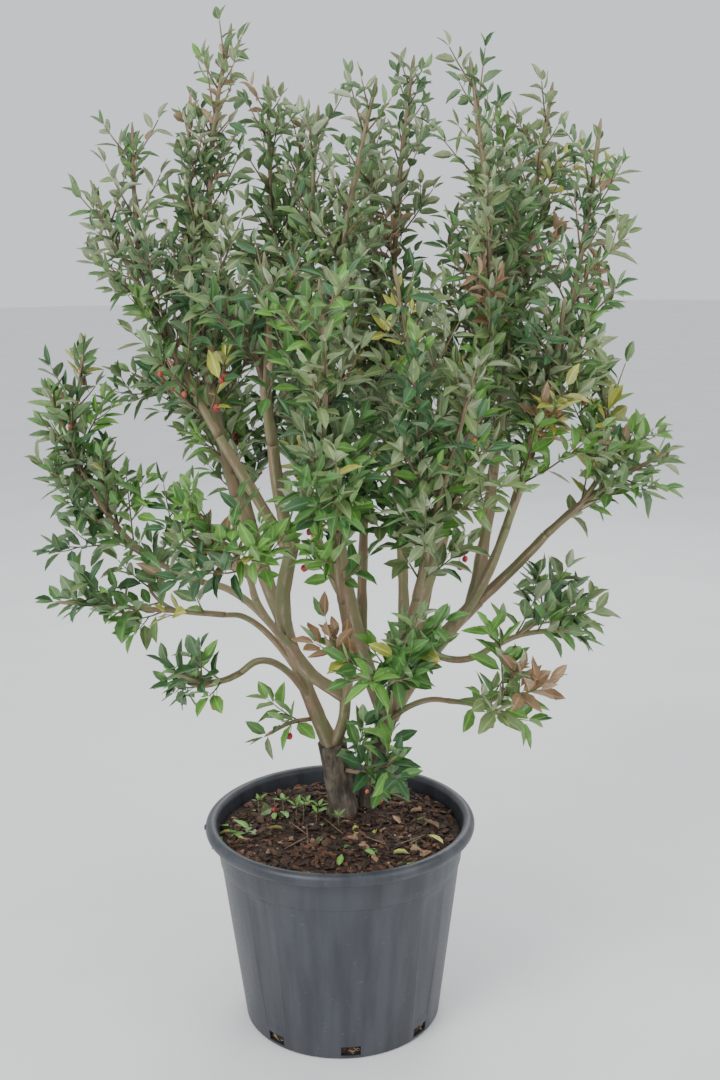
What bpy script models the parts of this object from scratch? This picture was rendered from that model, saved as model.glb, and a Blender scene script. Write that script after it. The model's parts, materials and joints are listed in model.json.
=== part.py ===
"""A burning bush in its nursery pot: trunks, boughs, leafy masses, compost and pot as separate solids.

Metres, +Z up, +Y to the back. The origin is the centre of the pot's flat underside.
"""

import math
import random

import bmesh
import bpy
import numpy as np
from mathutils import Matrix, Vector
from mathutils.bvhtree import BVHTree

# Pot: a round nursery container with a rolled lip, a collar and a tapering wall
POT_HEIGHT = 0.339
POT_BASE_RADIUS = 0.160
POT_FLARE = 0.1235
POT_WALL = 0.0035
POT_FLOOR = 0.0045
POT_STEPS = 40
BASE_CHAMFER = 0.003
RIM_RADIUS = 0.2173
LIP_WIDTH = 0.0193
LIP_DEPTH = 0.021
COLLAR_TOP = 0.311
COLLAR_FOOT = 0.272
COLLAR_PROUD = 0.0016

# Flat flutes down the wall and drain slots at its foot
FLUTE_COUNT = 4
SLOT_COUNT = 8
SLOT_TURN = math.radians(5.0)
FLUTE_TURN = math.radians(50.0)
FLUTE_TOP_WIDTH = 0.062
FLUTE_FOOT_WIDTH = 0.038
FLUTE_DEPTH = 0.0018
SLOT_WIDTH = 0.031
SLOT_TOP = 0.023

# Compost
SOIL_TOP = 0.326
SOIL_EDGE = 0.313
SOIL_FLAT_RADIUS = 0.115
SEAT_GAP = 0.0003

# Limbs
LIMB_RINGS = 5
LIMB_RESOLUTION = 1
TRUNK_RESOLUTION = 4
TRUNK_RINGS = 7
FLARE_HEIGHT = 0.05
FLARE_SPREAD = 0.32
FLARE_LOBES = 5

# Foliage
CROWN_AXIS = (0.03, -0.02)
LEAF_COUNT = 340
LEAF_LENGTH = 0.104
LEAF_WIDTH = 0.060
LEAF_THICKNESS = 0.0018
LEAF_FOLD = 0.006
LEAF_SINK = 0.001
LEAF_ROOT_CLEAR = 0.0072
LEADER_STEP = 0.11
LEADER_SWAY = 0.006
LEADER_TIP_RADIUS = 0.0022
LEADER_LEAD = 0.012
LEADER_HANDLE = 0.42
LEADER_TRIES = 8
SPRIG_RADIUS = 0.0034
TWIG_STEP = 0.122
TWIG_RADIUS = 0.0026
TWIG_TIP_RADIUS = 0.0016
BARE_TIP = 0.05
CLEARANCE = 0.0012
SLEEVE_SIDES = 6
SLEEVE_GUIDE = Vector((0.31, 0.95, 0.05))
BERRY_RADIUS = 0.0075
BERRY_DROP = 0.022
BERRY_STALK = 0.0013
GOLDEN_ANGLE = math.radians(137.5)

BARK = ("bark", (0.30, 0.21, 0.15), 0.9)
OLD_BARK = ("old_bark", (0.21, 0.16, 0.11), 0.95)
LEAF = ("leaf", (0.15, 0.29, 0.08), 0.55)
PLASTIC = ("pot_plastic", (0.035, 0.038, 0.045), 0.45)
COMPOST = ("compost", (0.075, 0.042, 0.028), 1.0)

# Each trunk: foot, bend and tip points, radius at foot and tip
TRUNKS = {
    "trunk": (
        (0.003, 0.034, SOIL_TOP + SEAT_GAP), (-0.003, 0.031, 0.39), (-0.012, 0.022, 0.455), 0.0205, 0.0235,
    ),
    "rear_trunk": (
        (0.046, 0.066, SOIL_TOP + SEAT_GAP), (0.058, 0.056, 0.41), (0.082, 0.036, 0.495), 0.0175, 0.0150,
    ),
}

# Each bough: the limb that carries it, the share of that limb where it leaves, bend and tip, two radii
BOUGHS = {
    "left_stem": ("trunk", 0.92, (-0.045, 0.020, 0.53), (-0.087, 0.035, 0.657), 0.0135, 0.0105),
    "middle_stem": ("trunk", 0.95, (0.007, -0.002, 0.50), (0.010, -0.018, 0.552), 0.0088, 0.0085),
    "front_left_bough": (
        "middle_stem", 0.95, (-0.073, -0.062, 0.655), (-0.060, -0.098, 0.820), 0.0098, 0.0090,
    ),
    "front_left_leader": (
        "front_left_bough", 0.95, (-0.078, -0.112, 0.885), (-0.085, -0.130, 0.965), 0.0092, 0.0078,
    ),
    "upper_left_bough": (
        "front_left_bough", 0.93, (-0.120, -0.098, 0.895), (-0.165, -0.088, 0.970), 0.0080, 0.0064,
    ),
    "front_lower_left_bough": (
        "front_left_bough", 0.42, (-0.095, -0.105, 0.69), (-0.115, -0.150, 0.745), 0.0062, 0.0048,
    ),
    "low_left_bough": (
        "left_stem", 0.50, (-0.100, -0.030, 0.608), (-0.148, -0.068, 0.604), 0.0062, 0.0046,
    ),
    "left_crest_bough": ("left_stem", 0.95, (-0.125, 0.035, 0.76), (-0.155, 0.030, 0.86), 0.0098, 0.0082),
    "left_arm_bough": ("left_stem", 0.80, (-0.140, 0.010, 0.695), (-0.206, 0.000, 0.729), 0.0066, 0.0052),
    "low_left_arm_bough": (
        "left_stem", 0.64, (-0.125, 0.055, 0.640), (-0.180, 0.045, 0.664), 0.0056, 0.0044,
    ),
    "back_left_bough": ("left_stem", 0.86, (-0.110, 0.105, 0.70), (-0.140, 0.150, 0.79), 0.0082, 0.0064),
    "centre_stem": ("rear_trunk", 0.95, (0.042, 0.046, 0.590), (0.010, 0.050, 0.735), 0.0125, 0.0098),
    "back_centre_bough": (
        "centre_stem", 0.55, (0.040, 0.105, 0.70), (0.045, 0.150, 0.80), 0.0080, 0.0062,
    ),
    "rear_left_bough": (
        "centre_stem", 0.78, (-0.025, 0.090, 0.755), (-0.050, 0.125, 0.84), 0.0078, 0.0064,
    ),
    "front_centre_bough": (
        "middle_stem", 0.72, (0.018, -0.090, 0.630), (0.010, -0.145, 0.735), 0.0070, 0.0056,
    ),
    "right_stem": ("rear_trunk", 0.82, (0.092, -0.006, 0.560), (0.121, -0.016, 0.680), 0.0115, 0.0098),
    "right_crest_bough": (
        "right_stem", 0.95, (0.155, -0.024, 0.780), (0.184, -0.032, 0.885), 0.0096, 0.0082,
    ),
    "front_right_bough": (
        "right_stem", 0.40, (0.100, -0.070, 0.635), (0.118, -0.130, 0.735), 0.0074, 0.0058,
    ),
    "rear_right_bough": ("right_stem", 0.70, (0.105, 0.060, 0.730), (0.098, 0.105, 0.83), 0.0078, 0.0064),
    "front_skirt_bough": (
        "right_stem", 0.20, (0.080, -0.060, 0.560), (0.078, -0.110, 0.590), 0.0054, 0.0042,
    ),
    "right_bough": ("rear_trunk", 0.96, (0.146, 0.040, 0.595), (0.222, 0.020, 0.690), 0.0130, 0.0100),
    "right_top_bough": (
        "right_bough", 0.94, (0.235, 0.045, 0.790), (0.248, 0.065, 0.885), 0.0086, 0.0070,
    ),
    "right_shoulder_bough": (
        "right_bough", 0.80, (0.225, -0.035, 0.735), (0.256, -0.058, 0.825), 0.0074, 0.0058,
    ),
    "right_arm_bough": (
        "right_bough", 0.90, (0.275, 0.005, 0.745), (0.323, 0.000, 0.799), 0.0070, 0.0054,
    ),
    "lower_right_bough": (
        "right_bough", 0.52, (0.195, -0.018, 0.605), (0.240, -0.038, 0.632), 0.0056, 0.0044,
    ),
    "low_right_bough": (
        "right_stem", 0.12, (0.125, -0.045, 0.545), (0.168, -0.080, 0.560), 0.0050, 0.0040,
    ),
    "back_right_bough": (
        "right_bough", 0.34, (0.140, 0.105, 0.650), (0.172, 0.155, 0.770), 0.0086, 0.0066,
    ),
}

# Each leafy mass: its bough, how far its side twigs reach, and the tips of its leading shoots
MASSES = {
    "left_top_foliage": ("upper_left_bough", 0.115, (-0.345, -0.020, 1.335), (-0.287, 0.020, 1.417)),
    "left_crest_foliage": ("left_crest_bough", 0.115, (-0.139, 0.030, 1.552), (-0.205, 0.035, 1.447)),
    "rear_left_foliage": ("rear_left_bough", 0.115, (-0.097, 0.160, 1.495), (-0.037, 0.190, 1.455)),
    "back_left_foliage": ("back_left_bough", 0.125, (-0.235, 0.190, 1.330), (-0.330, 0.160, 1.040)),
    "front_left_foliage": ("front_left_leader", 0.115, (-0.082, -0.245, 1.233), (-0.170, -0.215, 1.190)),
    "front_lower_left_foliage": (
        "front_lower_left_bough", 0.115, (-0.130, -0.285, 0.880), (-0.230, -0.200, 0.860),
    ),
    "low_left_foliage": ("low_left_bough", 0.080, (-0.235, -0.130, 0.625), (-0.255, -0.050, 0.600)),
    "left_arm_foliage": ("left_arm_bough", 0.100, (-0.429, 0.000, 1.030), (-0.382, 0.050, 1.088)),
    "low_left_arm_foliage": (
        "low_left_arm_bough", 0.075, (-0.430, -0.040, 0.712), (-0.300, 0.120, 0.735),
    ),
    "centre_crest_foliage": ("centre_stem", 0.115, (0.069, 0.000, 1.472), (-0.017, 0.070, 1.442)),
    "back_centre_foliage": ("back_centre_bough", 0.125, (0.020, 0.260, 1.330), (0.060, 0.265, 1.040)),
    "front_centre_foliage": (
        "front_centre_bough", 0.115, (-0.010, -0.310, 1.200), (0.010, -0.330, 0.930),
    ),
    "front_right_foliage": ("front_right_bough", 0.115, (0.084, -0.265, 1.215), (0.190, -0.270, 1.080)),
    "right_crest_foliage": ("right_crest_bough", 0.115, (0.206, 0.050, 1.505), (0.200, -0.100, 1.431)),
    "rear_right_foliage": ("rear_right_bough", 0.115, (0.130, 0.180, 1.525), (0.060, 0.130, 1.400)),
    "right_top_foliage": ("right_top_bough", 0.115, (0.332, 0.080, 1.472), (0.275, 0.170, 1.440)),
    "right_shoulder_foliage": (
        "right_shoulder_bough", 0.115, (0.382, -0.050, 1.409), (0.322, -0.150, 1.168),
    ),
    "right_arm_foliage": (
        "right_arm_bough", 0.095, (0.505, 0.000, 0.925), (0.404, 0.050, 1.050), (0.430, 0.010, 0.950),
    ),
    "lower_right_foliage": ("lower_right_bough", 0.085, (0.372, -0.050, 0.661), (0.345, 0.070, 0.720)),
    "low_right_foliage": ("low_right_bough", 0.080, (0.285, -0.120, 0.545), (0.260, -0.180, 0.650)),
    "back_right_foliage": ("back_right_bough", 0.125, (0.245, 0.215, 1.270), (0.330, 0.190, 0.980)),
    "front_skirt_foliage": ("front_skirt_bough", 0.090, (0.120, -0.245, 0.740), (0.020, -0.240, 0.650)),
    "trunk_sprig_foliage": ("trunk", 0.055, (0.090, -0.090, 0.475)),
    "left_sprig_foliage": ("left_stem", 0.050, (-0.118, -0.015, 0.480)),
}

# The masses that carry a seed capsule large enough to show from a step away
FRUITING_MASSES = (
    "front_left_foliage",
    "front_lower_left_foliage",
    "left_arm_foliage",
    "low_left_arm_foliage",
    "centre_crest_foliage",
    "front_centre_foliage",
    "front_right_foliage",
    "right_crest_foliage",
    "front_skirt_foliage",
    "back_centre_foliage",
)

# A sprig grows from the side of its limb instead of from a tip: the share along it, and the side
SPRIGS = {
    "trunk_sprig_foliage": (0.62, (0.75, -0.65, 0.1)),
    "left_sprig_foliage": (0.32, (-1.0, -0.2, 0.1)),
}


def material(finish):
    name, color, roughness = finish
    made = bpy.data.materials.get(name)
    if made is None:
        made = bpy.data.materials.new(name)
        made.use_nodes = True
        shader = made.node_tree.nodes["Principled BSDF"]
        shader.inputs["Base Color"].default_value = (*color, 1.0)
        shader.inputs["Roughness"].default_value = roughness
        shader.inputs["Metallic"].default_value = 0.0
    return made


def collection(name):
    made = bpy.data.collections.new(name)
    bpy.context.scene.collection.children.link(made)
    return made


def add_object(name, data, group, finish=None):
    made = bpy.data.objects.new(name, data)
    group.objects.link(made)
    if finish is not None:
        data.materials.clear()
        data.materials.append(material(finish))
    return made


def as_cutter(obj):
    obj.hide_render = True
    obj.display_type = "WIRE"
    return obj


def evaluated_mesh(obj):
    """The object's mesh after its modifiers, with any loose caps welded."""
    bpy.context.view_layer.update()
    graph = bpy.context.evaluated_depsgraph_get()
    mesh = bpy.data.meshes.new_from_object(obj.evaluated_get(graph), depsgraph=graph)
    work = bmesh.new()
    work.from_mesh(mesh)
    bmesh.ops.remove_doubles(work, verts=work.verts, dist=0.000005)
    work.to_mesh(mesh)
    work.free()
    return mesh


def apply_modifiers(obj):
    mesh = evaluated_mesh(obj)
    obj.modifiers.clear()
    obj.data = mesh


def cut(target, cutter, solver="EXACT"):
    modifier = target.modifiers.new(cutter.name, "BOOLEAN")
    modifier.operation = "DIFFERENCE"
    modifier.solver = solver
    modifier.object = cutter


def keep_largest_body(obj):
    """Leaves the body with the largest volume, so scraps and sealed hollows go."""
    work = bmesh.new()
    work.from_mesh(obj.data)
    bodies = []
    unseen = set(work.faces)
    while unseen:
        body = set()
        edge_of_search = [unseen.pop()]
        while edge_of_search:
            face = edge_of_search.pop()
            body.add(face)
            for edge in face.edges:
                for other in edge.link_faces:
                    if other in unseen:
                        unseen.discard(other)
                        edge_of_search.append(other)
        bodies.append(body)

    def volume(body):
        total = 0.0
        for face in body:
            corners = [vert.co for vert in face.verts]
            for second, third in zip(corners[1:], corners[2:]):
                total += corners[0].dot(second.cross(third))
        return total

    bodies.sort(key=volume, reverse=True)
    for body in bodies[1:]:
        bmesh.ops.delete(work, geom=list(body), context="FACES")
    work.to_mesh(obj.data)
    work.free()


# Pot and compost


def wall_radius(height):
    return POT_BASE_RADIUS + POT_FLARE * height


def turned(name, profile, group, finish):
    """A body of revolution about Z. The profile runs down its outer side."""
    mesh = bpy.data.meshes.new(name)
    points = [(radius, 0.0, height) for radius, height in profile]
    mesh.from_pydata(points, [(i, i + 1) for i in range(len(points) - 1)], [])
    made = add_object(name, mesh, group)
    screw = made.modifiers.new("Turned", "SCREW")
    screw.axis = "Z"
    screw.steps = POT_STEPS
    screw.render_steps = POT_STEPS
    screw.use_merge_vertices = True
    screw.merge_threshold = 0.00001
    apply_modifiers(made)
    made.data.materials.append(material(finish))
    return made


def lip_profile():
    """Half an ellipse over the rim, from its inner edge to the outer roll's underside."""
    middle = RIM_RADIUS - LIP_WIDTH / 2
    centre = POT_HEIGHT - LIP_DEPTH / 2
    turns = [180, 125, 80, 35, -10, -50, -90]
    profile = []
    for turn in turns:
        angle = math.radians(turn)
        profile.append((middle + LIP_WIDTH / 2 * math.cos(angle), centre + LIP_DEPTH / 2 * math.sin(angle)))
    return profile


def pot_profile():
    inner_foot = wall_radius(POT_FLOOR) - POT_WALL
    inner_top = wall_radius(COLLAR_TOP) - POT_WALL
    inside = [(0.0, POT_FLOOR), (inner_foot, POT_FLOOR), (inner_top, COLLAR_TOP)]
    collar = [
        (wall_radius(COLLAR_TOP) + COLLAR_PROUD, COLLAR_TOP),
        (wall_radius(COLLAR_FOOT) + COLLAR_PROUD, COLLAR_FOOT),
        (wall_radius(COLLAR_FOOT), COLLAR_FOOT - COLLAR_PROUD),
    ]
    foot = [
        (wall_radius(BASE_CHAMFER), BASE_CHAMFER),
        (POT_BASE_RADIUS - BASE_CHAMFER, 0.0),
        (0.0, 0.0),
    ]
    return inside + lip_profile() + collar + foot


def wedge(name, turn, low, high, group):
    """A tapering block with its inner face on a slope. low and high are (z, inner radius, width)."""
    work = bmesh.new()
    bmesh.ops.create_cube(work, size=2.0)
    for vert in work.verts:
        z, inner, width = high if vert.co.z > 0 else low
        radius = inner if vert.co.x < 0 else inner + 0.03
        vert.co = (radius, math.copysign(width / 2, vert.co.y), z)
    mesh = bpy.data.meshes.new(name)
    work.to_mesh(mesh)
    work.free()
    made = add_object(name, mesh, group)
    made.rotation_euler = (0.0, 0.0, turn)
    return as_cutter(made)


def build_pot(parts, cutters):
    pot = turned("pot", pot_profile(), parts, PLASTIC)
    front = -math.pi / 2
    for i in range(FLUTE_COUNT):
        turn = front + FLUTE_TURN + i * 2 * math.pi / FLUTE_COUNT
        low = (SLOT_TOP + 0.006, wall_radius(SLOT_TOP + 0.006) - FLUTE_DEPTH, FLUTE_FOOT_WIDTH)
        top = COLLAR_FOOT - 0.004
        high = (top, wall_radius(top) - FLUTE_DEPTH, FLUTE_TOP_WIDTH)
        cut(pot, wedge(f"flute_cutter_{i + 1}", turn, low, high, cutters))
    for i in range(SLOT_COUNT):
        turn = front + SLOT_TURN + i * 2 * math.pi / SLOT_COUNT
        low = (POT_FLOOR + 0.002, POT_BASE_RADIUS - 0.009, SLOT_WIDTH)
        high = (SLOT_TOP, POT_BASE_RADIUS - 0.009, SLOT_WIDTH)
        cut(pot, wedge(f"slot_cutter_{i + 1}", turn, low, high, cutters))
    apply_modifiers(pot)
    pot.data.shade_smooth()
    pot.data.set_sharp_from_angle(angle=math.radians(35))
    return pot


def build_compost(parts):
    foot = POT_FLOOR + SEAT_GAP
    inner = POT_WALL + SEAT_GAP
    profile = [
        (0.0, SOIL_TOP),
        (SOIL_FLAT_RADIUS, SOIL_TOP),
        (wall_radius(SOIL_EDGE) - inner - 0.0015, SOIL_EDGE),
        (wall_radius(foot) - inner, foot),
        (0.0, foot),
    ]
    return turned("compost", profile, parts, COMPOST)


# Limbs


def curve_through(foot, bend, tip, count):
    """Points of a quadratic curve from foot to tip that passes the bend halfway."""
    handle = 2 * bend - (foot + tip) / 2
    points = []
    for i in range(count):
        t = i / (count - 1)
        points.append((1 - t) ** 2 * foot + 2 * t * (1 - t) * handle + t * t * tip)
    return points


def tube_curve(name, points, radii, group, resolution=0, section=None):
    """A tapering tube with filled caps, round or with the given section curve."""
    curve = bpy.data.curves.new(name, "CURVE")
    curve.dimensions = "3D"
    curve.use_fill_caps = True
    curve.bevel_depth = 1.0
    curve.bevel_resolution = resolution
    if section is not None:
        curve.bevel_mode = "OBJECT"
        curve.bevel_object = section
    spline = curve.splines.new("POLY")
    spline.points.add(len(points) - 1)
    for point, place, radius in zip(spline.points, points, radii):
        point.co = (*place, 1.0)
        point.radius = radius
    return add_object(name, curve, group)


def tube(name, points, radii, group, resolution=0, section=None):
    """A tube as a closed mesh object."""
    source = tube_curve(name + "_line", points, radii, group, resolution, section)
    mesh = evaluated_mesh(source)
    bpy.data.objects.remove(source)
    return add_object(name, mesh, group)


def swell_foot(obj, foot):
    """Spreads the foot of the main trunk into its root flare."""
    for vert in obj.data.vertices:
        rise = (vert.co.z - foot.z) / FLARE_HEIGHT
        if rise > 1.0:
            continue
        offset = Vector((vert.co.x - foot.x, vert.co.y - foot.y, 0.0))
        angle = math.atan2(offset.y, offset.x)
        spread = FLARE_SPREAD * (1.0 - max(rise, 0.0)) ** 2
        vert.co += offset * spread * (1.0 + 0.45 * math.cos(FLARE_LOBES * angle))


def limb_points(name, limbs):
    """The centre line of a trunk or bough, from inside the limb that carries it."""
    if name in TRUNKS:
        foot, bend, tip = (Vector(place) for place in TRUNKS[name][:3])
        points = curve_through(foot, bend, tip, TRUNK_RINGS)
        points[1] = Vector((foot.x, foot.y, points[1].z * 0.5 + foot.z * 0.5))
        return points
    carrier, share, bend, tip = BOUGHS[name][:4]
    foot = point_along(limbs[carrier][0], share)
    return curve_through(foot, Vector(bend), Vector(tip), LIMB_RINGS)


def point_along(points, share):
    place = share * (len(points) - 1)
    low = min(int(place), len(points) - 2)
    return points[low].lerp(points[low + 1], place - low)


def build_limb(name, limbs, parts, cutters):
    """One trunk or bough, cut clear of the earlier limbs that it meets."""
    points = limb_points(name, limbs)
    foot_radius, tip_radius = (TRUNKS.get(name) or BOUGHS[name])[-2:]
    shares = [i / (len(points) - 1) for i in range(len(points))]
    radii = [foot_radius + (tip_radius - foot_radius) * share for share in shares]
    resolution = TRUNK_RESOLUTION if name in TRUNKS else LIMB_RESOLUTION
    made = tube(name, points, radii, parts, resolution)
    wider = [radius + SEAT_GAP for radius in radii]
    overrun = points[:-1] + [points[-1] + (points[-1] - points[-2]).normalized() * SEAT_GAP]
    cutter = as_cutter(tube(name + "_cutter", overrun, wider, cutters, resolution))
    if name == "trunk":
        swell_foot(made, points[0])
        swell_foot(cutter, points[0])
    for other, (other_points, other_radii, _, other_cutter) in limbs.items():
        reach = max(radii) + max(other_radii) + SEAT_GAP
        if nearest(points, other_points) < reach:
            cut(made, other_cutter, "MANIFOLD")
    apply_modifiers(made)
    keep_largest_body(made)
    made.data.materials.clear()
    made.data.materials.append(material(OLD_BARK if name in TRUNKS else BARK))
    made.data.shade_smooth()
    made.data.set_sharp_from_angle(angle=math.radians(50))
    limbs[name] = (points, radii, made, cutter)


def filled(points, step):
    """The points of a line with more between them, no further apart than the step."""
    dense = []
    for start, end in zip(points, points[1:]):
        count = max(1, math.ceil((end - start).length / step))
        dense += [start.lerp(end, i / count) for i in range(count)]
    return dense + [points[-1]]


def nearest(points, others):
    first = np.array(filled(points, 0.004))
    second = np.array(filled(others, 0.004))
    return float(np.min(np.linalg.norm(first[:, None] - second[None], axis=2)))


# Foliage


def sprig_seat(name, limbs):
    """Where a side sprig leaves its limb, a seat's gap off the bark, and the way it heads."""
    share, side = SPRIGS[name]
    points, radii, made = limbs[MASSES[name][0]][:3]
    bark = BVHTree.FromPolygons(*mesh_shape(made.data))
    away = Vector(side).normalized()
    place, normal, _, _ = bark.ray_cast(point_along(points, share) + away * radii[0] * 3, -away)
    return place + normal * SEAT_GAP, normal


def swaying_line(foot, heading, tip, sway, rng):
    """A shoot's line, which leaves along the heading and sways a little on its way to the tip."""
    span = (tip - foot).length
    handle = foot + heading * span * LEADER_HANDLE
    count = max(4, round(span / LEADER_STEP) + 1)
    line = []
    for i in range(count):
        t = i / (count - 1)
        shift = Vector((rng.uniform(-1, 1), rng.uniform(-1, 1), 0.0)) * sway * math.sin(math.pi * t)
        line.append((1 - t) ** 2 * foot + 2 * t * (1 - t) * handle + t * t * tip + shift)
    return line


def leader_paths(name, limbs, room):
    """The leading shoots of a mass: the first from its bough, the rest from the first."""
    bough, _, *tips = MASSES[name]
    points, radii = limbs[bough][:2]
    if name in SPRIGS:
        foot, heading = sprig_seat(name, limbs)
        start_radius = SPRIG_RADIUS
    else:
        heading = (points[-1] - points[-2]).normalized()
        foot = points[-1] + heading * SEAT_GAP
        start_radius = radii[-1] * 0.97
    rng = random.Random(name)
    paths = []
    for number, tip in enumerate(tips):
        if number > 0:
            foot = paths[0][0][number + 1]
            start_radius = paths[0][1][number + 1] * 0.85
        tip_radius = min(LEADER_TIP_RADIUS, start_radius)
        for attempt in range(LEADER_TRIES):
            line = swaying_line(foot, heading, Vector(tip), LEADER_SWAY * (1 + attempt), rng)
            if number == 0:
                line.insert(1, foot + heading * LEADER_LEAD)
            shares = [i / (len(line) - 1) for i in range(len(line))]
            sizes = [start_radius + (tip_radius - start_radius) * share for share in shares]
            sleeve = prism(line, [size + CLEARANCE for size in sizes])
            if not room.touches(*sleeve, (name, bough)):
                break
        room.place(name, *sleeve)
        paths.append((line, sizes))
    return paths


def prism(points, radii):
    """A plain six-sided sleeve as vertices and faces, to try a shoot's room with."""
    verts = []
    faces = []
    for number, (place, radius) in enumerate(zip(points, radii)):
        ahead = points[min(number + 1, len(points) - 1)] - points[max(number - 1, 0)]
        side = ahead.cross(SLEEVE_GUIDE).normalized()
        for corner in range(SLEEVE_SIDES):
            spoke = side.copy()
            spoke.rotate(Matrix.Rotation(corner * math.tau / SLEEVE_SIDES, 3, ahead.normalized()))
            verts.append(place + spoke * radius / math.cos(math.pi / SLEEVE_SIDES))
    for row in range(len(points) - 1):
        for corner in range(SLEEVE_SIDES):
            first = row * SLEEVE_SIDES + corner
            second = row * SLEEVE_SIDES + (corner + 1) % SLEEVE_SIDES
            faces.append((first, second, second + SLEEVE_SIDES, first + SLEEVE_SIDES))
    return verts, faces


def mesh_shape(mesh):
    return [vert.co.copy() for vert in mesh.vertices], [list(face.vertices) for face in mesh.polygons]


class Room:
    """Holds every piece placed so far, and says whether another would touch one."""

    def __init__(self):
        self.owners = []
        self.trees = []
        self.lows = []
        self.highs = []

    def place(self, owner, verts, faces):
        corners = np.array(verts)
        self.owners.append(owner)
        self.trees.append(BVHTree.FromPolygons(verts, faces))
        self.lows.append(corners.min(axis=0))
        self.highs.append(corners.max(axis=0))

    def touches(self, verts, faces, ignored):
        corners = np.array(verts)
        apart = np.any(np.array(self.lows) > corners.max(axis=0), axis=1)
        apart |= np.any(np.array(self.highs) < corners.min(axis=0), axis=1)
        tree = BVHTree.FromPolygons(verts, faces)
        for index in np.flatnonzero(~apart):
            if self.owners[index] not in ignored and tree.overlap(self.trees[index]):
                return True
        return False


def owner_of(point, lines):
    """The mass whose leading shoots pass nearest to the point."""
    place = np.array(point)
    return min(lines, key=lambda name: np.linalg.norm(lines[name] - place, axis=1).min())


def leaf_shape(frame, length, width, grown=0.0, clear=0.0):
    """An eight-faced pointed blade folded along its midrib, or a grown one with its root end left out."""
    ball = bmesh.new()
    bmesh.ops.create_uvsphere(ball, u_segments=4, v_segments=2, radius=1.0)
    verts = []
    for vert in ball.verts:
        x, y, z = vert.co
        fold = LEAF_FOLD if abs(x) + abs(y) < 0.5 else 0.0
        along = max(length * (0.5 + x / 2) + grown * x, clear)
        across = (width / 2 + grown) * y
        out = (LEAF_THICKNESS / 2 + grown) * z - fold
        verts.append(frame @ Vector((along, across, out)))
    faces = [[vert.index for vert in face.verts] for face in ball.faces]
    ball.free()
    return verts, faces


def add_shape(name, verts, faces, group):
    mesh = bpy.data.meshes.new(name)
    mesh.from_pydata(verts, [], faces)
    return add_object(name, mesh, group)


def leaf_frame(root, along, up):
    """Axes of a leaf: along its midrib, across its blade and out of its face."""
    across = up.cross(along).normalized()
    frame = Matrix((along, across, along.cross(across))).transposed().to_4x4()
    frame.translation = root
    return frame


def aim_from(along, turn, tilt, rng):
    """A direction that leaves a line at the tilt, turned about it."""
    side = along.orthogonal().normalized()
    side.rotate(Matrix.Rotation(turn, 3, along.normalized()))
    aim = along.normalized() * math.cos(tilt) + side * math.sin(tilt)
    aim.z += rng.uniform(-0.15, 0.25)
    return aim.normalized()


def heading_at(line, share):
    return point_along(line, min(1.0, share + 0.05)) - point_along(line, max(0.0, share - 0.05))


def plan_twigs(name, paths, lines, room):
    """Side twigs of one mass, spaced along its leading shoots, where they have room."""
    rng = random.Random(name + " twigs")
    reach = MASSES[name][1]
    twigs = []
    turn = rng.uniform(0, math.tau)
    for number, (line, _) in enumerate(paths):
        length = sum((after - before).length for before, after in zip(line, line[1:]))
        count = max(2, round((length - BARE_TIP) / TWIG_STEP))
        for i in range(count):
            share = (i + 0.6) / count * (1.0 - BARE_TIP / length)
            root = point_along(line, share)
            for shorter in (1.0, 0.95, 0.85, 0.75, 0.6, 0.5):
                turn += GOLDEN_ANGLE
                span = reach * (1.0 - 0.55 * share) * shorter
                aim = aim_from(heading_at(line, share), turn, math.radians(rng.uniform(45, 65)), rng)
                tip = root + aim * span + Vector((0.0, 0.0, span * 0.2))
                if tip.z < POT_HEIGHT or owner_of(tip, lines) != name:
                    continue
                wide = [TWIG_RADIUS + CLEARANCE] * 2
                if room.touches(*prism([root, tip], wide), (name,)):
                    continue
                room.place(name, *prism([root, tip], wide))
                twigs.append((root, tip, 1.08 - 0.3 * share))
                break
    return twigs


def leaf_sites(name, paths, twigs):
    """Where leaves may stand in one mass: opposite pairs, and one at each twig's tip."""
    rng = random.Random(name + " leaves")
    sites = []
    for root, tip, size in twigs:
        turn = rng.uniform(0, math.tau)
        for share in (0.3, 0.62, 1.0):
            turns = (turn,) if share == 1.0 else (turn, turn + math.pi)
            tilt = math.radians(10 if share == 1.0 else rng.uniform(48, 66))
            sites += [(name, [root, tip], share, about, tilt, size) for about in turns]
            turn += math.pi / 2
    for line, _ in paths:
        turn = rng.uniform(0, math.tau)
        for share in (0.35, 0.6, 0.8, 0.93):
            tilt = math.radians(rng.uniform(35, 55))
            sites += [(name, line, share, about, tilt, 0.8) for about in (turn, turn + math.pi)]
            turn += math.pi / 2
    return sites


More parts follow.
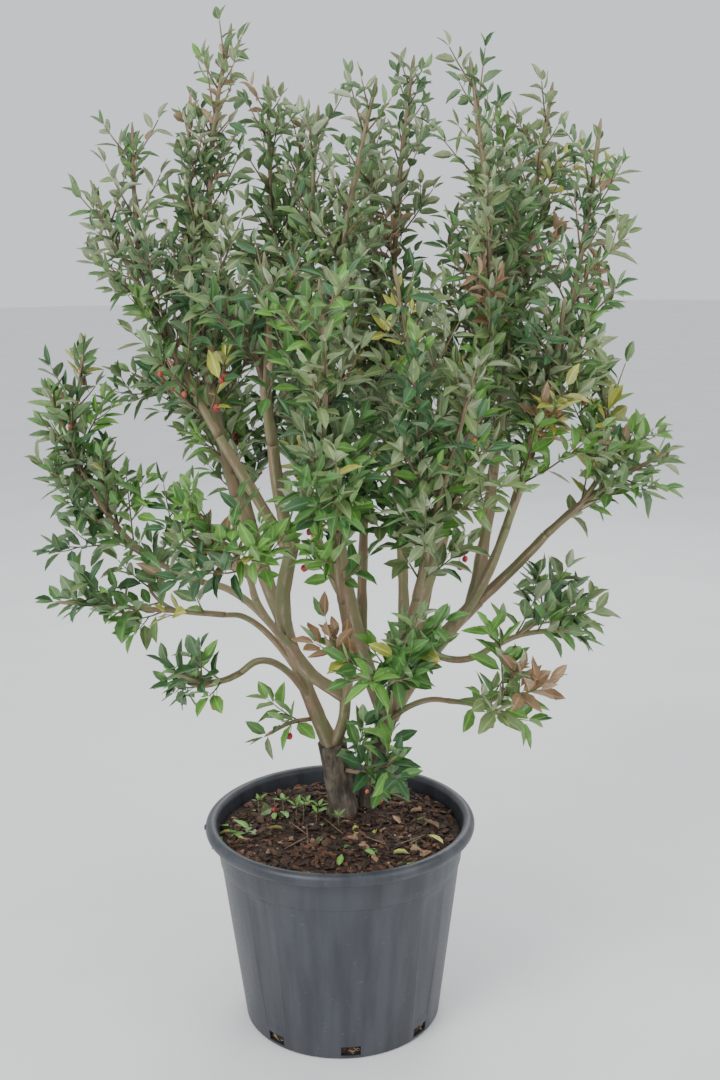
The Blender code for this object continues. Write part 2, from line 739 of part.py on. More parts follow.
def place_leaves(sites, lines, room):
    """Gives each mass its leaves, evenly over the crown, until the leaf count is reached."""
    rng = random.Random("leaves of the crown")
    rng.shuffle(sites)
    leaves = {name: [] for name in MASSES}
    placed = 0
    for name, line, share, turn, tilt, size in sites:
        root = point_along(line, share)
        aim = aim_from(heading_at(line, share), turn, tilt, rng)
        outward = Vector((root.x - CROWN_AXIS[0], root.y - CROWN_AXIS[1], 0.0)).normalized()
        sway = Vector([rng.uniform(-0.6, 0.6) for _ in range(3)])
        frame = leaf_frame(root - aim * LEAF_SINK, aim, outward * 0.8 + Vector((0.0, 0.0, 0.8)) + sway)
        scale = size * rng.uniform(0.85, 1.12)
        length, width = LEAF_LENGTH * scale, LEAF_WIDTH * scale
        if owner_of(root + aim * length * 0.5, lines) != name or (root + aim * length).z < POT_HEIGHT:
            continue
        blade = leaf_shape(frame, length, width, CLEARANCE, LEAF_ROOT_CLEAR)
        whole = leaf_shape(frame, length, width, CLEARANCE)
        own = (name, name + " leaf root")
        if room.touches(*blade, own) or room.touches(*whole, own + (name + " leaf",)):
            continue
        room.place(name + " leaf", *blade)
        room.place(name + " leaf root", *whole)
        leaves[name].append(leaf_shape(frame, length, width))
        placed += 1
        if placed == LEAF_COUNT:
            break
    return leaves


def place_berries(twigs, room):
    """A hanging seed capsule on the first twig of each fruiting mass that has room for one."""
    berries = {name: [] for name in MASSES}
    for name in FRUITING_MASSES:
        for twig_root, twig_tip, _ in twigs[name]:
            root = twig_root.lerp(twig_tip, 0.5)
            capsule = root - Vector((0.0, 0.0, BERRY_DROP))
            foot = capsule - Vector((0.0, 0.0, BERRY_RADIUS + CLEARANCE))
            trial = prism([foot, root], [BERRY_RADIUS + CLEARANCE] * 2)
            if not room.touches(*trial, (name,)):
                room.place(name + " berry", *trial)
                berries[name].append(root)
                break
    return berries


def build_berry(name, root, group, section):
    """A hanging seed capsule with its stalk sunk in both."""
    capsule = root - Vector((0.0, 0.0, BERRY_DROP))
    tube(name + "_stalk", [root, capsule], [BERRY_STALK, BERRY_STALK], group, section=section)
    ball = bmesh.new()
    bmesh.ops.create_uvsphere(ball, u_segments=5, v_segments=3, radius=BERRY_RADIUS)
    bmesh.ops.translate(ball, vec=capsule, verts=ball.verts)
    mesh = bpy.data.meshes.new(name)
    ball.to_mesh(mesh)
    ball.free()
    add_object(name, mesh, group)


def build_mass(name, paths, twigs, leaves, berries, parts, section):
    """One leafy mass: shoots, twigs, leaves and capsules joined into one solid."""
    pieces = collection(name + "_pieces")
    made = tube(name, *paths[0], parts, section=section)
    for number, (line, radii) in enumerate(paths[1:]):
        tube(f"{name}_shoot_{number}", line, radii, pieces, section=section)
    for number, (root, tip, _) in enumerate(twigs):
        tube(f"{name}_twig_{number}", [root, tip], [TWIG_RADIUS, TWIG_TIP_RADIUS], pieces, section=section)
    for number, shape in enumerate(leaves):
        add_shape(f"{name}_leaf_{number}", *shape, pieces)
    for number, root in enumerate(berries):
        build_berry(f"{name}_berry_{number}", root, pieces, section)
    union = made.modifiers.new("Joined", "BOOLEAN")
    union.operation = "UNION"
    union.solver = "MANIFOLD"
    union.operand_type = "COLLECTION"
    union.collection = pieces
    apply_modifiers(made)
    for piece in list(pieces.objects):
        bpy.data.objects.remove(piece)
    bpy.data.collections.remove(pieces)
    keep_largest_body(made)
    made.data.materials.clear()
    made.data.materials.append(material(LEAF))


def triangle_section(group):
    """The three-sided section of shoots and twigs, of radius one."""
    curve = bpy.data.curves.new("shoot_section", "CURVE")
    spline = curve.splines.new("POLY")
    spline.points.add(2)
    for i, point in enumerate(spline.points):
        angle = -i * math.tau / 3
        point.co = (math.cos(angle), math.sin(angle), 0.0, 1.0)
    spline.use_cyclic_u = True
    return as_cutter(add_object("shoot_section", curve, group))


def main():
    for obj in list(bpy.data.objects):
        bpy.data.objects.remove(obj)
    parts = collection("potted_burning_bush")
    cutters = collection("cutters")
    build_pot(parts, cutters)
    build_compost(parts)
    limbs = {}
    for name in [*TRUNKS, *BOUGHS]:
        build_limb(name, limbs, parts, cutters)
    section = triangle_section(cutters)
    room = Room()
    for name, (_, _, made, _) in limbs.items():
        room.place(name, *mesh_shape(made.data))
    leaders = {name: leader_paths(name, limbs, room) for name in MASSES}
    lines = {}
    for name, paths in leaders.items():
        lines[name] = np.array([point for line, _ in paths for point in filled(line, 0.01)])
    twigs = {name: plan_twigs(name, paths, lines, room) for name, paths in leaders.items()}
    berries = place_berries(twigs, room)
    sites = [site for name in MASSES for site in leaf_sites(name, leaders[name], twigs[name])]
    leaves = place_leaves(sites, lines, room)
    for name, paths in leaders.items():
        build_mass(name, paths, twigs[name], leaves[name], berries[name], parts, section)


main()
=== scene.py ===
"""Looks of a burning bush in its nursery pot: winged stems, leafy sprays, capsules, compost and pot.

Metres, +Z up, +Y to the back. The origin is the centre of the pot's flat underside.
"""

import json
import math
import random

import bmesh
import bpy
import numpy as np
from mathutils import Matrix, Vector, noise

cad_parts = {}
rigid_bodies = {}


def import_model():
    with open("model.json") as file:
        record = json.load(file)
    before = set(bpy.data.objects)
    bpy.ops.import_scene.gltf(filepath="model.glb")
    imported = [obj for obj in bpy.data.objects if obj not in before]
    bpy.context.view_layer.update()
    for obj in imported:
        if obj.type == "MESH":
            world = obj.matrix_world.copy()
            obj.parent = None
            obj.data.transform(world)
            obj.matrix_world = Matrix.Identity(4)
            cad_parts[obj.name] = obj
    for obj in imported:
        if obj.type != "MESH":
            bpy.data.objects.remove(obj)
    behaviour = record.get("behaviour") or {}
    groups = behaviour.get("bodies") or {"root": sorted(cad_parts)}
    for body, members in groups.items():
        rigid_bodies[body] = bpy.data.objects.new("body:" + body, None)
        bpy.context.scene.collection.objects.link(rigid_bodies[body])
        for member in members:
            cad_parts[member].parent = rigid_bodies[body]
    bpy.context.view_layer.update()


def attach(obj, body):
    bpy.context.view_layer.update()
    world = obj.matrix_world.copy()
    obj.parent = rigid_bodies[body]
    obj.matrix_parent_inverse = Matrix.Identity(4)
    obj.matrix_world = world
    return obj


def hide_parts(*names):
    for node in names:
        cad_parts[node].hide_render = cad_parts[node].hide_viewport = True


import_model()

# Camera: where it stood, how far it looks down and how it leans, in metres and radians
CAMERA_PLACE = (0.0372, -1.9957, 1.2538)
CAMERA_PITCH = 0.2262
CAMERA_ROLL = -0.0114
CAMERA_LENS = 44.23
CAMERA_SENSOR = 36.0
LIGHT_TARGET = (0.0, 0.0, 0.75)

# Pot: a round nursery container with a rolled lip, a collar and a tapering wall
POT_HEIGHT = 0.339
POT_BASE_RADIUS = 0.160
POT_FLARE = 0.1235
POT_WALL = 0.0035
POT_FLOOR = 0.0045
BASE_CHAMFER = 0.003
RIM_RADIUS = 0.2173
LIP_WIDTH = 0.0193
LIP_DEPTH = 0.021
COLLAR_TOP = 0.311
COLLAR_FOOT = 0.272
COLLAR_PROUD = 0.0016

# Flat flutes down the wall and drain slots at its foot
FLUTE_COUNT = 4
SLOT_COUNT = 8
SLOT_TURN = math.radians(5.0)
FLUTE_TURN = math.radians(50.0)
FLUTE_TOP_WIDTH = 0.062
FLUTE_FOOT_WIDTH = 0.038
FLUTE_DEPTH = 0.0018
SLOT_WIDTH = 0.031
SLOT_TOP = 0.023

# Compost
SOIL_TOP = 0.326
SOIL_EDGE = 0.313
SOIL_FLAT_RADIUS = 0.115
SEAT_GAP = 0.0003

# Finer pot: columns round it, the soft edge of a flute and the rolled lip's steps
POT_COLUMNS = 180
FLUTE_COLUMNS = 18
FLUTE_LOW = 0.030
FLUTE_HIGH = 0.267
FLUTE_SOFT = math.radians(0.8)
FLUTE_RAMP = 0.008
FLUTE_EDGE_FROM = 5.5
FLUTE_EDGE_SPAN = 4.0
COLUMN_GAP = 0.004
LIP_STEPS = 22
ROW_STEP = 0.012
SHARP_ANGLE = math.radians(38)
NUB_RADIUS = 0.0045

# Finer compost: rings and columns of its bed, and what lies on it
BED_RINGS = 26
BED_COLUMNS = 120
BED_GAP = 0.0010
SOIL_LUMPS = 0.0042
SOIL_CRUMBS = 0.0018
SOIL_SINK = 0.001
BED_HEIGHTS = (0.25, 0.12, 0.05, 0.024, 0.019, 0.014, 0.009)
BED_DENTS = 0.0022
CHIP_REACH = 0.186
CHIP_SIZES = (0.005, 0.007, 0.009, 0.012, 0.016, 0.022)
CHIP_COUNT = 2600
SPECK_COUNT = 60
LITTER_COUNT = 46
LITTER_REACH = 0.175
FALLEN_LEAF = (0.022, 0.038)
LITTER_TINTS = (16, 14, 8, 22, 8, 14, 18)
SEEDLING_COUNT = 9
SEEDLING_PLACE = (-0.050, 0.010)
SEEDLING_SPREAD = (0.026, 0.020)
SEEDLING_RADII = (0.0008, 0.0007, 0.0005)
HEAP_PLACE = (-0.160, -0.034)
HEAP_SPREAD = (0.012, 0.030)
TAN_CHIP_PLACE = (0.060, -0.095)
TAN_CHIP_SPREAD = 0.06
TAN_LEAF_PLACE = (0.160, -0.030)
FALLEN_TWIGS = 12
FALLEN_TWIG_RADII = (0.0011, 0.0010, 0.0006)
FALLEN_CAPSULE = (-0.108, 0.032, SOIL_TOP + 0.024)
SLOT_ROOTS = 5
SLOT_ROOT_RADII = (0.0007, 0.0009, 0.0008, 0.0005)

# Limbs: rings and sides of the bark, the root flare and the collar where a bough leaves
TRUNK_STEP = 0.0025
TRUNK_SIDES = 56
BOUGH_STEP = 0.005
BOUGH_SIDES = 24
SHOOT_STEP = 0.011
SHOOT_SIDES = 12
TWIG_SIDES = 5
TRUNK_RINGS = 7
LIMB_RINGS = 5
FLARE_HEIGHT = 0.05
FLARE_SPREAD = 0.32
FLARE_LOBES = 5
PLANTED = 0.014
COLLAR_SWELL = 0.28
COLLAR_REACH = 0.018
COLLAR_START = 0.006
TRUNK_ROUGH = 0.12
BOUGH_ROUGH = 0.07
SHOOT_ROUGH = 0.05
SIDE_GUIDE = np.array((0.31, 0.95, 0.05))

# Corky wings: their edge and breaks, how proud they are low down and higher up
WING_EDGE = 8
WING_TURN = 3.7
WING_BREAKS = 26.0
WING_LOW = 0.10
WING_GAIN = 0.14
WING_FOOT = 0.62
WING_SPAN = 0.2
SHOOT_WING = 0.34

# Bark plates and cracks: how many round the limb and along it, and how wide a crack is
PLATE_AROUND = 2.6
PLATE_ALONG = 34
VEIN_AROUND = 4.8
VEIN_ALONG = 16
CRACK_WIDTH = 0.14

# Shoots and twigs
CROWN_AXIS = Vector((0.03, -0.02, 0.0))
LEADER_STEP = 0.11
LEADER_SWAY = 0.006
LEADER_HANDLE = 0.42
LEADER_START = 0.97
SIDE_LEADER_START = 0.85
LEADER_TIP_RADIUS = 0.0022
SPRIG_RADIUS = 0.0034
SPRIG_SEAT = 0.9
SPRIG_BARE_FOOT = 0.02
TWIG_RADIUS = 0.0017
TWIG_TIP_RADIUS = 0.0008
TWIG_EXTRA = 0.040
TWIG_LOSS = 0.14
TWIG_TAPER = 0.62
TWIG_TILT = (34, 58)
TWIG_RISE = 0.24
TWIG_SAG = 0.05
AIM_RISE = (-0.10, 0.25)
TWIGLET_SPAN = 0.075
TWIGLET_SHARES = (0.42, 0.68)
TWIGLET_TILT = math.radians(48)
NODE_STEP = 0.036
STEP_SPREAD = (0.8, 1.25)
BARE_FOOT = 0.035
BARE_TIP = 0.035
BARE_TOPS = 1.15
SHOOT_POINT = 0.35
CREST_START = 0.55
OWNER_STEP = 0.012
GREEN_TWIGS = 0.95
BROWN_SHOOTS = 1.0

# Leaves, from the foot of the crown to its top
LOW_LEAF = 0.052
HIGH_LEAF = 0.034
CROWN_FOOT = 0.55
CROWN_TOP = 1.40
LEAF_STEP = 0.020
LEAF_LOSS = 0.08
LEAF_TILT = (42, 66)
TIP_LEAF_TILT = (12, 34)
LEAF_SWAY = 0.55
LEAF_RATIO = 0.44
BLADE_WIDEST = 0.86
BLADE_FULLNESS = 0.9
LEAF_THICKNESS = 0.012
LEAF_STATIONS = (0.09, 0.30, 0.56, 0.82)
LEAF_ACROSS = (-1.0, -0.5, 0.0, 0.5, 1.0)
LOW_SHAPES = (30, 26, 16, 6, 1, 14)
HIGH_SHAPES = (12, 20, 16, 28, 10, 14)
CAPSULE_RADIUS = 0.0042
CAPSULE_DROP = 0.020
CAPSULE_SHARE = 0.16
CAPSULE_TOP = 1.12

# Colours
SLATE = (0.030, 0.034, 0.043)
SLATE_LIGHT = (0.050, 0.055, 0.066)
DUST = (0.25, 0.24, 0.23)
DUST_SHARE = 0.35
SOIL_DARK = (0.018, 0.010, 0.007)
SOIL_LIGHT = (0.060, 0.034, 0.022)
BARK_CRACK = (0.050, 0.040, 0.030)
BARK_GROOVE = (0.09, 0.075, 0.055)
BARK_PLATE = (0.200, 0.165, 0.125)
CORK = (0.400, 0.310, 0.215)
CORK_SHADE = 0.62
STEM_TAN = (0.235, 0.160, 0.095)
STEM_GREEN = (0.180, 0.190, 0.085)
SHOOT_BROWN = (0.130, 0.085, 0.060)
SHOOT_CORK = (0.260, 0.200, 0.150)
TWIG_GREEN = (0.110, 0.150, 0.050)
TWIG_TAN = (0.200, 0.150, 0.080)
GRAIN_FINENESS = 3.5
FINE_BUMP = 0.0006
BLADE_SHADES = (0.84, 1.14)
RIB_EDGE = (0.80, 0.96)

# Each kind of chip: its name and the two colours between which it drifts
CHIP_COLOURS = (
    ("bark_chip_dark", (0.020, 0.011, 0.007), (0.050, 0.027, 0.017)),
    ("bark_chip_brown", (0.060, 0.030, 0.017), (0.100, 0.052, 0.030)),
    ("bark_chip_red", (0.090, 0.036, 0.020), (0.130, 0.060, 0.034)),
    ("bark_chip_tan", (0.200, 0.120, 0.065), (0.300, 0.200, 0.120)),
    ("white_speck", (0.600, 0.580, 0.540), (0.700, 0.690, 0.660)),
)

# Each leaf tint: its name, upper face and paler lower face
TINTS = (
    ("fresh_leaf", (0.130, 0.300, 0.050), (0.230, 0.380, 0.130)),
    ("middle_leaf", (0.080, 0.195, 0.045), (0.190, 0.300, 0.130)),
    ("deep_leaf", (0.042, 0.115, 0.038), (0.150, 0.240, 0.115)),
    ("olive_leaf", (0.150, 0.215, 0.075), (0.290, 0.360, 0.190)),
    ("grey_leaf", (0.190, 0.250, 0.120), (0.340, 0.400, 0.250)),
    ("yellow_leaf", (0.390, 0.410, 0.070), (0.450, 0.460, 0.160)),
    ("dry_leaf", (0.260, 0.160, 0.080), (0.380, 0.260, 0.160)),
)
LOW_TINTS = (30, 36, 20, 6, 2, 4, 1)
HIGH_TINTS = (6, 20, 14, 32, 22, 2, 4)
# Painted shade inside the crown: the deep tint gets this much more weight at the crown's middle, fading out
# by this reach from its axis
DEEP_TINT = 2
INSIDE_SHADE_WEIGHT = 30
SHADED_INSIDE_REACH = 0.22
STRAY_TINTS = 0.16

# Each trunk: foot, bend and tip points, radius at foot and tip
TRUNKS = {
    "trunk": (
        (0.003, 0.034, SOIL_TOP + SEAT_GAP), (-0.003, 0.031, 0.39), (-0.012, 0.022, 0.455), 0.0205, 0.0235,
    ),
    "rear_trunk": (
        (0.046, 0.066, SOIL_TOP + SEAT_GAP), (0.058, 0.056, 0.41), (0.082, 0.036, 0.495), 0.0175, 0.015,
    ),
}

# Each bough: the limb that carries it, the share of that limb where it leaves, bend and tip, two radii
BOUGHS = {
    "left_stem": ("trunk", 0.92, (-0.045, 0.02, 0.53), (-0.087, 0.035, 0.657), 0.0135, 0.0105),
    "middle_stem": ("trunk", 0.95, (0.007, -0.002, 0.5), (0.01, -0.018, 0.552), 0.0088, 0.0085),
    "front_left_bough": ("middle_stem", 0.95, (-0.073, -0.062, 0.655), (-0.06, -0.098, 0.82), 0.0098, 0.009),
    "front_left_leader": (
        "front_left_bough", 0.95, (-0.078, -0.112, 0.885), (-0.085, -0.13, 0.965), 0.0092, 0.0078,
    ),
    "upper_left_bough": (
        "front_left_bough", 0.93, (-0.12, -0.098, 0.895), (-0.165, -0.088, 0.97), 0.008, 0.0064,
    ),
    "front_lower_left_bough": (
        "front_left_bough", 0.42, (-0.095, -0.105, 0.69), (-0.115, -0.15, 0.745), 0.0062, 0.0048,
    ),
    "low_left_bough": ("left_stem", 0.5, (-0.1, -0.03, 0.608), (-0.148, -0.068, 0.604), 0.0062, 0.0046),
    "left_crest_bough": ("left_stem", 0.95, (-0.125, 0.035, 0.76), (-0.155, 0.03, 0.86), 0.0098, 0.0082),
    "left_arm_bough": ("left_stem", 0.8, (-0.14, 0.01, 0.695), (-0.206, 0.0, 0.729), 0.0066, 0.0052),
    "low_left_arm_bough": ("left_stem", 0.64, (-0.125, 0.055, 0.64), (-0.18, 0.045, 0.664), 0.0056, 0.0044),
    "back_left_bough": ("left_stem", 0.86, (-0.11, 0.105, 0.7), (-0.14, 0.15, 0.79), 0.0082, 0.0064),
    "centre_stem": ("rear_trunk", 0.95, (0.042, 0.046, 0.59), (0.01, 0.05, 0.735), 0.0125, 0.0098),
    "back_centre_bough": ("centre_stem", 0.55, (0.04, 0.105, 0.7), (0.045, 0.15, 0.8), 0.008, 0.0062),
    "rear_left_bough": ("centre_stem", 0.78, (-0.025, 0.09, 0.755), (-0.05, 0.125, 0.84), 0.0078, 0.0064),
    "front_centre_bough": ("middle_stem", 0.72, (0.018, -0.09, 0.63), (0.01, -0.145, 0.735), 0.007, 0.0056),
    "right_stem": ("rear_trunk", 0.82, (0.092, -0.006, 0.56), (0.121, -0.016, 0.68), 0.0115, 0.0098),
    "right_crest_bough": ("right_stem", 0.95, (0.155, -0.024, 0.78), (0.184, -0.032, 0.885), 0.0096, 0.0082),
    "front_right_bough": ("right_stem", 0.4, (0.1, -0.07, 0.635), (0.118, -0.13, 0.735), 0.0074, 0.0058),
    "rear_right_bough": ("right_stem", 0.7, (0.105, 0.06, 0.73), (0.098, 0.105, 0.83), 0.0078, 0.0064),
    "front_skirt_bough": ("right_stem", 0.2, (0.08, -0.06, 0.56), (0.078, -0.11, 0.59), 0.0054, 0.0042),
    "right_bough": ("rear_trunk", 0.96, (0.146, 0.04, 0.595), (0.222, 0.02, 0.69), 0.013, 0.01),
    "right_top_bough": ("right_bough", 0.94, (0.235, 0.045, 0.79), (0.248, 0.065, 0.885), 0.0086, 0.007),
    "right_shoulder_bough": (
        "right_bough", 0.8, (0.225, -0.035, 0.735), (0.256, -0.058, 0.825), 0.0074, 0.0058,
    ),
    "right_arm_bough": ("right_bough", 0.9, (0.275, 0.005, 0.745), (0.323, 0.0, 0.799), 0.007, 0.0054),
    "lower_right_bough": ("right_bough", 0.52, (0.195, -0.018, 0.605), (0.24, -0.038, 0.632), 0.0056, 0.0044),
    "low_right_bough": ("right_stem", 0.12, (0.125, -0.045, 0.545), (0.168, -0.08, 0.56), 0.005, 0.004),
    "back_right_bough": ("right_bough", 0.34, (0.14, 0.105, 0.65), (0.172, 0.155, 0.77), 0.0086, 0.0066),
}

# Each leafy mass: its bough, how far its side twigs reach, and the tips of its leading shoots
MASSES = {
    "left_top_foliage": ("upper_left_bough", 0.115, (-0.345, -0.02, 1.335), (-0.287, 0.02, 1.417)),
    "left_crest_foliage": ("left_crest_bough", 0.115, (-0.139, 0.03, 1.552), (-0.205, 0.035, 1.447)),
    "rear_left_foliage": ("rear_left_bough", 0.115, (-0.097, 0.16, 1.495), (-0.037, 0.19, 1.455)),
    "back_left_foliage": ("back_left_bough", 0.125, (-0.235, 0.19, 1.33), (-0.33, 0.16, 1.04)),
    "front_left_foliage": ("front_left_leader", 0.115, (-0.082, -0.245, 1.233), (-0.17, -0.215, 1.19)),
    "front_lower_left_foliage": ("front_lower_left_bough", 0.115, (-0.13, -0.285, 0.88), (-0.23, -0.2, 0.86)),
    "low_left_foliage": ("low_left_bough", 0.08, (-0.235, -0.13, 0.625), (-0.255, -0.05, 0.6)),
    "left_arm_foliage": ("left_arm_bough", 0.1, (-0.429, 0.0, 1.03), (-0.382, 0.05, 1.088)),
    "low_left_arm_foliage": ("low_left_arm_bough", 0.075, (-0.43, -0.04, 0.712), (-0.3, 0.12, 0.735)),
    "centre_crest_foliage": ("centre_stem", 0.115, (0.069, 0.0, 1.472), (-0.017, 0.07, 1.442)),
    "back_centre_foliage": ("back_centre_bough", 0.125, (0.02, 0.26, 1.33), (0.06, 0.265, 1.04)),
    "front_centre_foliage": ("front_centre_bough", 0.115, (-0.01, -0.31, 1.2), (0.01, -0.33, 0.93)),
    "front_right_foliage": ("front_right_bough", 0.115, (0.084, -0.265, 1.215), (0.19, -0.27, 1.08)),
    "right_crest_foliage": ("right_crest_bough", 0.115, (0.206, 0.05, 1.505), (0.2, -0.1, 1.431)),
    "rear_right_foliage": ("rear_right_bough", 0.115, (0.13, 0.18, 1.525), (0.06, 0.13, 1.4)),
    "right_top_foliage": ("right_top_bough", 0.115, (0.332, 0.08, 1.472), (0.275, 0.17, 1.44)),
    "right_shoulder_foliage": ("right_shoulder_bough", 0.115, (0.382, -0.05, 1.409), (0.322, -0.15, 1.168)),
    "right_arm_foliage": (
        "right_arm_bough", 0.095, (0.505, 0.0, 0.925), (0.404, 0.05, 1.05), (0.43, 0.01, 0.95),
    ),
    "lower_right_foliage": ("lower_right_bough", 0.085, (0.372, -0.05, 0.661), (0.345, 0.07, 0.72)),
    "low_right_foliage": ("low_right_bough", 0.08, (0.285, -0.12, 0.545), (0.26, -0.18, 0.65)),
    "back_right_foliage": ("back_right_bough", 0.125, (0.245, 0.215, 1.27), (0.33, 0.19, 0.98)),
    "front_skirt_foliage": ("front_skirt_bough", 0.09, (0.12, -0.245, 0.74), (0.02, -0.24, 0.65)),
    "trunk_sprig_foliage": ("trunk", 0.055, (0.09, -0.09, 0.475)),
    "left_sprig_foliage": ("left_stem", 0.05, (-0.118, -0.015, 0.48)),
}

# A sprig grows from the side of its limb instead of from a tip: the share along it, and the side
SPRIGS = {
    "trunk_sprig_foliage": (0.62, (0.75, -0.65, 0.1)),
    "left_sprig_foliage": (0.32, (-1.0, -0.2, 0.1)),
}

# Small helpers


def plain_object(name, mesh):
    made = bpy.data.objects.new(name, mesh)
    bpy.context.scene.collection.objects.link(made)
    return made


def dress(name, mesh, nodes=(), finishes=()):
    """A finished piece that rides on the plant and stands for the given nodes."""
    for finish in finishes:
        mesh.materials.append(finish)
    piece = plain_object(name, mesh)
    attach(piece, "root")
    if nodes:
        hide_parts(*nodes)
    return piece


def curve_through(foot, bend, tip, count):
    """Points of a quadratic curve from foot to tip that passes the bend halfway."""
    handle = 2 * bend - (foot + tip) / 2
    points = []
    for i in range(count):
        t = i / (count - 1)
        points.append((1 - t) ** 2 * foot + 2 * t * (1 - t) * handle + t * t * tip)
    return points


def point_along(points, share):
    place = share * (len(points) - 1)
    low = min(int(place), len(points) - 2)
    return points[low].lerp(points[low + 1], place - low)


def heading_at(line, share):
    return point_along(line, min(1.0, share + 0.05)) - point_along(line, max(0.0, share - 0.05))


def run_of(points):
    return sum((after - before).length for before, after in zip(points, points[1:]))


def smooth(points, radii, step):
    """A finer line through the points, and the radius at each of its own points."""
    line = []
    sizes = []
    for i in range(len(points) - 1):
        start = points[i]
        end = points[i + 1]
        before = points[i - 1] if i > 0 else start * 2 - end
        after = points[i + 2] if i + 2 < len(points) else end * 2 - start
        count = max(1, math.ceil((end - start).length / step))
        for k in range(count):
            t = k / count
            bend = (2 * before - 5 * start + 4 * end - after) * t * t
            twist = (3 * start - before - 3 * end + after) * t ** 3
            line.append(0.5 * (2 * start + (end - before) * t + bend + twist))
            sizes.append(radii[i] + (radii[i + 1] - radii[i]) * t)
    return line + [points[-1]], sizes + [radii[-1]]


def eased(value):
    value = min(1.0, max(0.0, value))
    return value * value * (3 - 2 * value)


class Gathered:
    """Many small shapes joined into one mesh, with a share of cork at each vertex."""

    def __init__(self):
        self.verts = []
        self.faces = []
        self.marks = []
        self.finishes = []

    def add(self, shape, finish=0):
        verts, faces, marks = shape
        start = len(self.verts)
        self.verts.extend(verts)
        self.marks.extend(marks)
        self.faces.extend([[index + start for index in face] for face in faces])
        self.finishes.extend([finish] * len(faces))

    def mesh(self, name):
        made = bpy.data.meshes.new(name)
        made.from_pydata(self.verts, [], self.faces)
        made.attributes.new("cork", "FLOAT", "POINT").data.foreach_set("value", self.marks)
        made.polygons.foreach_set("material_index", self.finishes)
        made.shade_smooth()
        return made


def tube_faces(sides, count):
    """The faces of a closed tube: quads between its rings, and a fan round the point at each end."""
    faces = []
    for low in range(0, (count - 1) * sides, sides):
        for column in range(sides):
            after = (column + 1) % sides
            faces.append((low + column, low + after, low + sides + after, low + sides + column))
    last = (count - 1) * sides
    foot = last + sides
    for column in range(sides):
        after = (column + 1) % sides
        faces.append((after, column, foot))
        faces.append((last + column, last + after, foot + 1))
    return faces


def swept(points, radii, sides, section=None):
    """A closed tube along the points: its vertices, its faces and the cork at each vertex."""
    line = np.array([tuple(point) for point in points])
    ahead = np.gradient(line, axis=0)
    ahead /= np.linalg.norm(ahead, axis=1)[:, None]
    side = np.cross(ahead[0], SIDE_GUIDE)
    angles = np.arange(sides) * math.tau / sides
    bare = np.zeros((len(line), sides))
    swell, cork = section if section is not None else (bare, bare)
    rings = []
    for row, (place, heading, radius) in enumerate(zip(line, ahead, radii)):
        side = side - heading * side.dot(heading)
        side /= np.linalg.norm(side)
        up = np.cross(heading, side)
        reach = (radius * (1.0 + swell[row]))[:, None]
        rings.append(place + reach * (np.cos(angles)[:, None] * side + np.sin(angles)[:, None] * up))
    verts = np.vstack(rings + [line[:1], line[-1:]])
    return verts.tolist(), tube_faces(sides, len(line)), [*cork.ravel().tolist(), 0.0, 0.0]


def bark_section(points, sides, seed, wing, rough):
    """How far the bark stands out round a limb, and how much of it is cork or a raised plate."""
    swell = np.zeros((len(points), sides))
    cork = np.zeros((len(points), sides))
    run = 0.0
    for row, place in enumerate(points):
        if row > 0:
            run += (place - points[row - 1]).length
        broken = 0.5 + 0.8 * noise.noise(Vector((run * WING_BREAKS, seed, 0.5)))
        for column in range(sides):
            angle = column * math.tau / sides
            around = Vector((math.cos(angle), math.sin(angle), 0.0))
            fin = abs(math.cos(2 * angle)) ** WING_EDGE
            plate = noise.noise(around * PLATE_AROUND + Vector((seed, 0.0, run * PLATE_ALONG)))
            vein = abs(noise.noise(around * VEIN_AROUND + Vector((0.0, seed, run * VEIN_ALONG))))
            crack = max(0.0, CRACK_WIDTH - vein) / CRACK_WIDTH
            swell[row, column] = wing * fin * (0.5 + broken) + rough * (0.8 * plate - crack)
            raised = fin * (0.35 + broken) if wing > 0 else 0.55 + 0.9 * plate
            cork[row, column] = min(1.0, max(0.0, raised + 0.3 * plate - 0.7 * crack))
    return swell, cork


# Shared finishes


def feed(tree, node, sockets):
    """Sets a node's sockets to values, or links them to other nodes' outputs."""
    for label, value in sockets.items():
        if isinstance(value, bpy.types.NodeSocket):
            tree.links.new(value, node.inputs[label])
        else:
            node.inputs[label].default_value = (*value, 1.0) if isinstance(value, tuple) else value


def node_with(tree, kind, sockets, **settings):
    node = tree.nodes.new(kind)
    for label, value in settings.items():
        setattr(node, label, value)
    feed(tree, node, sockets)
    return node


def drift_group():
    """A mask that drifts over the surface, stretched along Z where asked, and its raw height."""
    group = bpy.data.node_groups.new("Drift", "ShaderNodeTree")
    for label in ("Scale", "Stretch", "Low", "High"):
        group.interface.new_socket(label, in_out="INPUT", socket_type="NodeSocketFloat")
    for label in ("Mask", "Height"):
        group.interface.new_socket(label, in_out="OUTPUT", socket_type="NodeSocketFloat")
    start = group.nodes.new("NodeGroupInput").outputs
    place = group.nodes.new("ShaderNodeTexCoord").outputs["Object"]
    along = node_with(group, "ShaderNodeCombineXYZ", {0: 1.0, 1: 1.0, 2: start["Stretch"]})
    squeeze = node_with(group, "ShaderNodeVectorMath", {0: place, 1: along.outputs[0]}, operation="MULTIPLY")
    grain = node_with(group, "ShaderNodeTexNoise", {
        "Vector": squeeze.outputs[0], "Scale": start["Scale"], "Detail": 4.0,
    }).outputs[0]
    span = node_with(group, "ShaderNodeMapRange", {
        "Value": grain, "From Min": start["Low"], "From Max": start["High"],
    })
    node_with(group, "NodeGroupOutput", {"Mask": span.outputs[0], "Height": grain})
    return group


DRIFT = drift_group()


def drift(tree, scale, stretch=1.0, low=0.4, high=0.6):
    sockets = {"Scale": scale, "Stretch": stretch, "Low": low, "High": high}
    node = tree.nodes.new("ShaderNodeGroup")
    node.node_tree = DRIFT
    feed(tree, node, sockets)
    return node.outputs


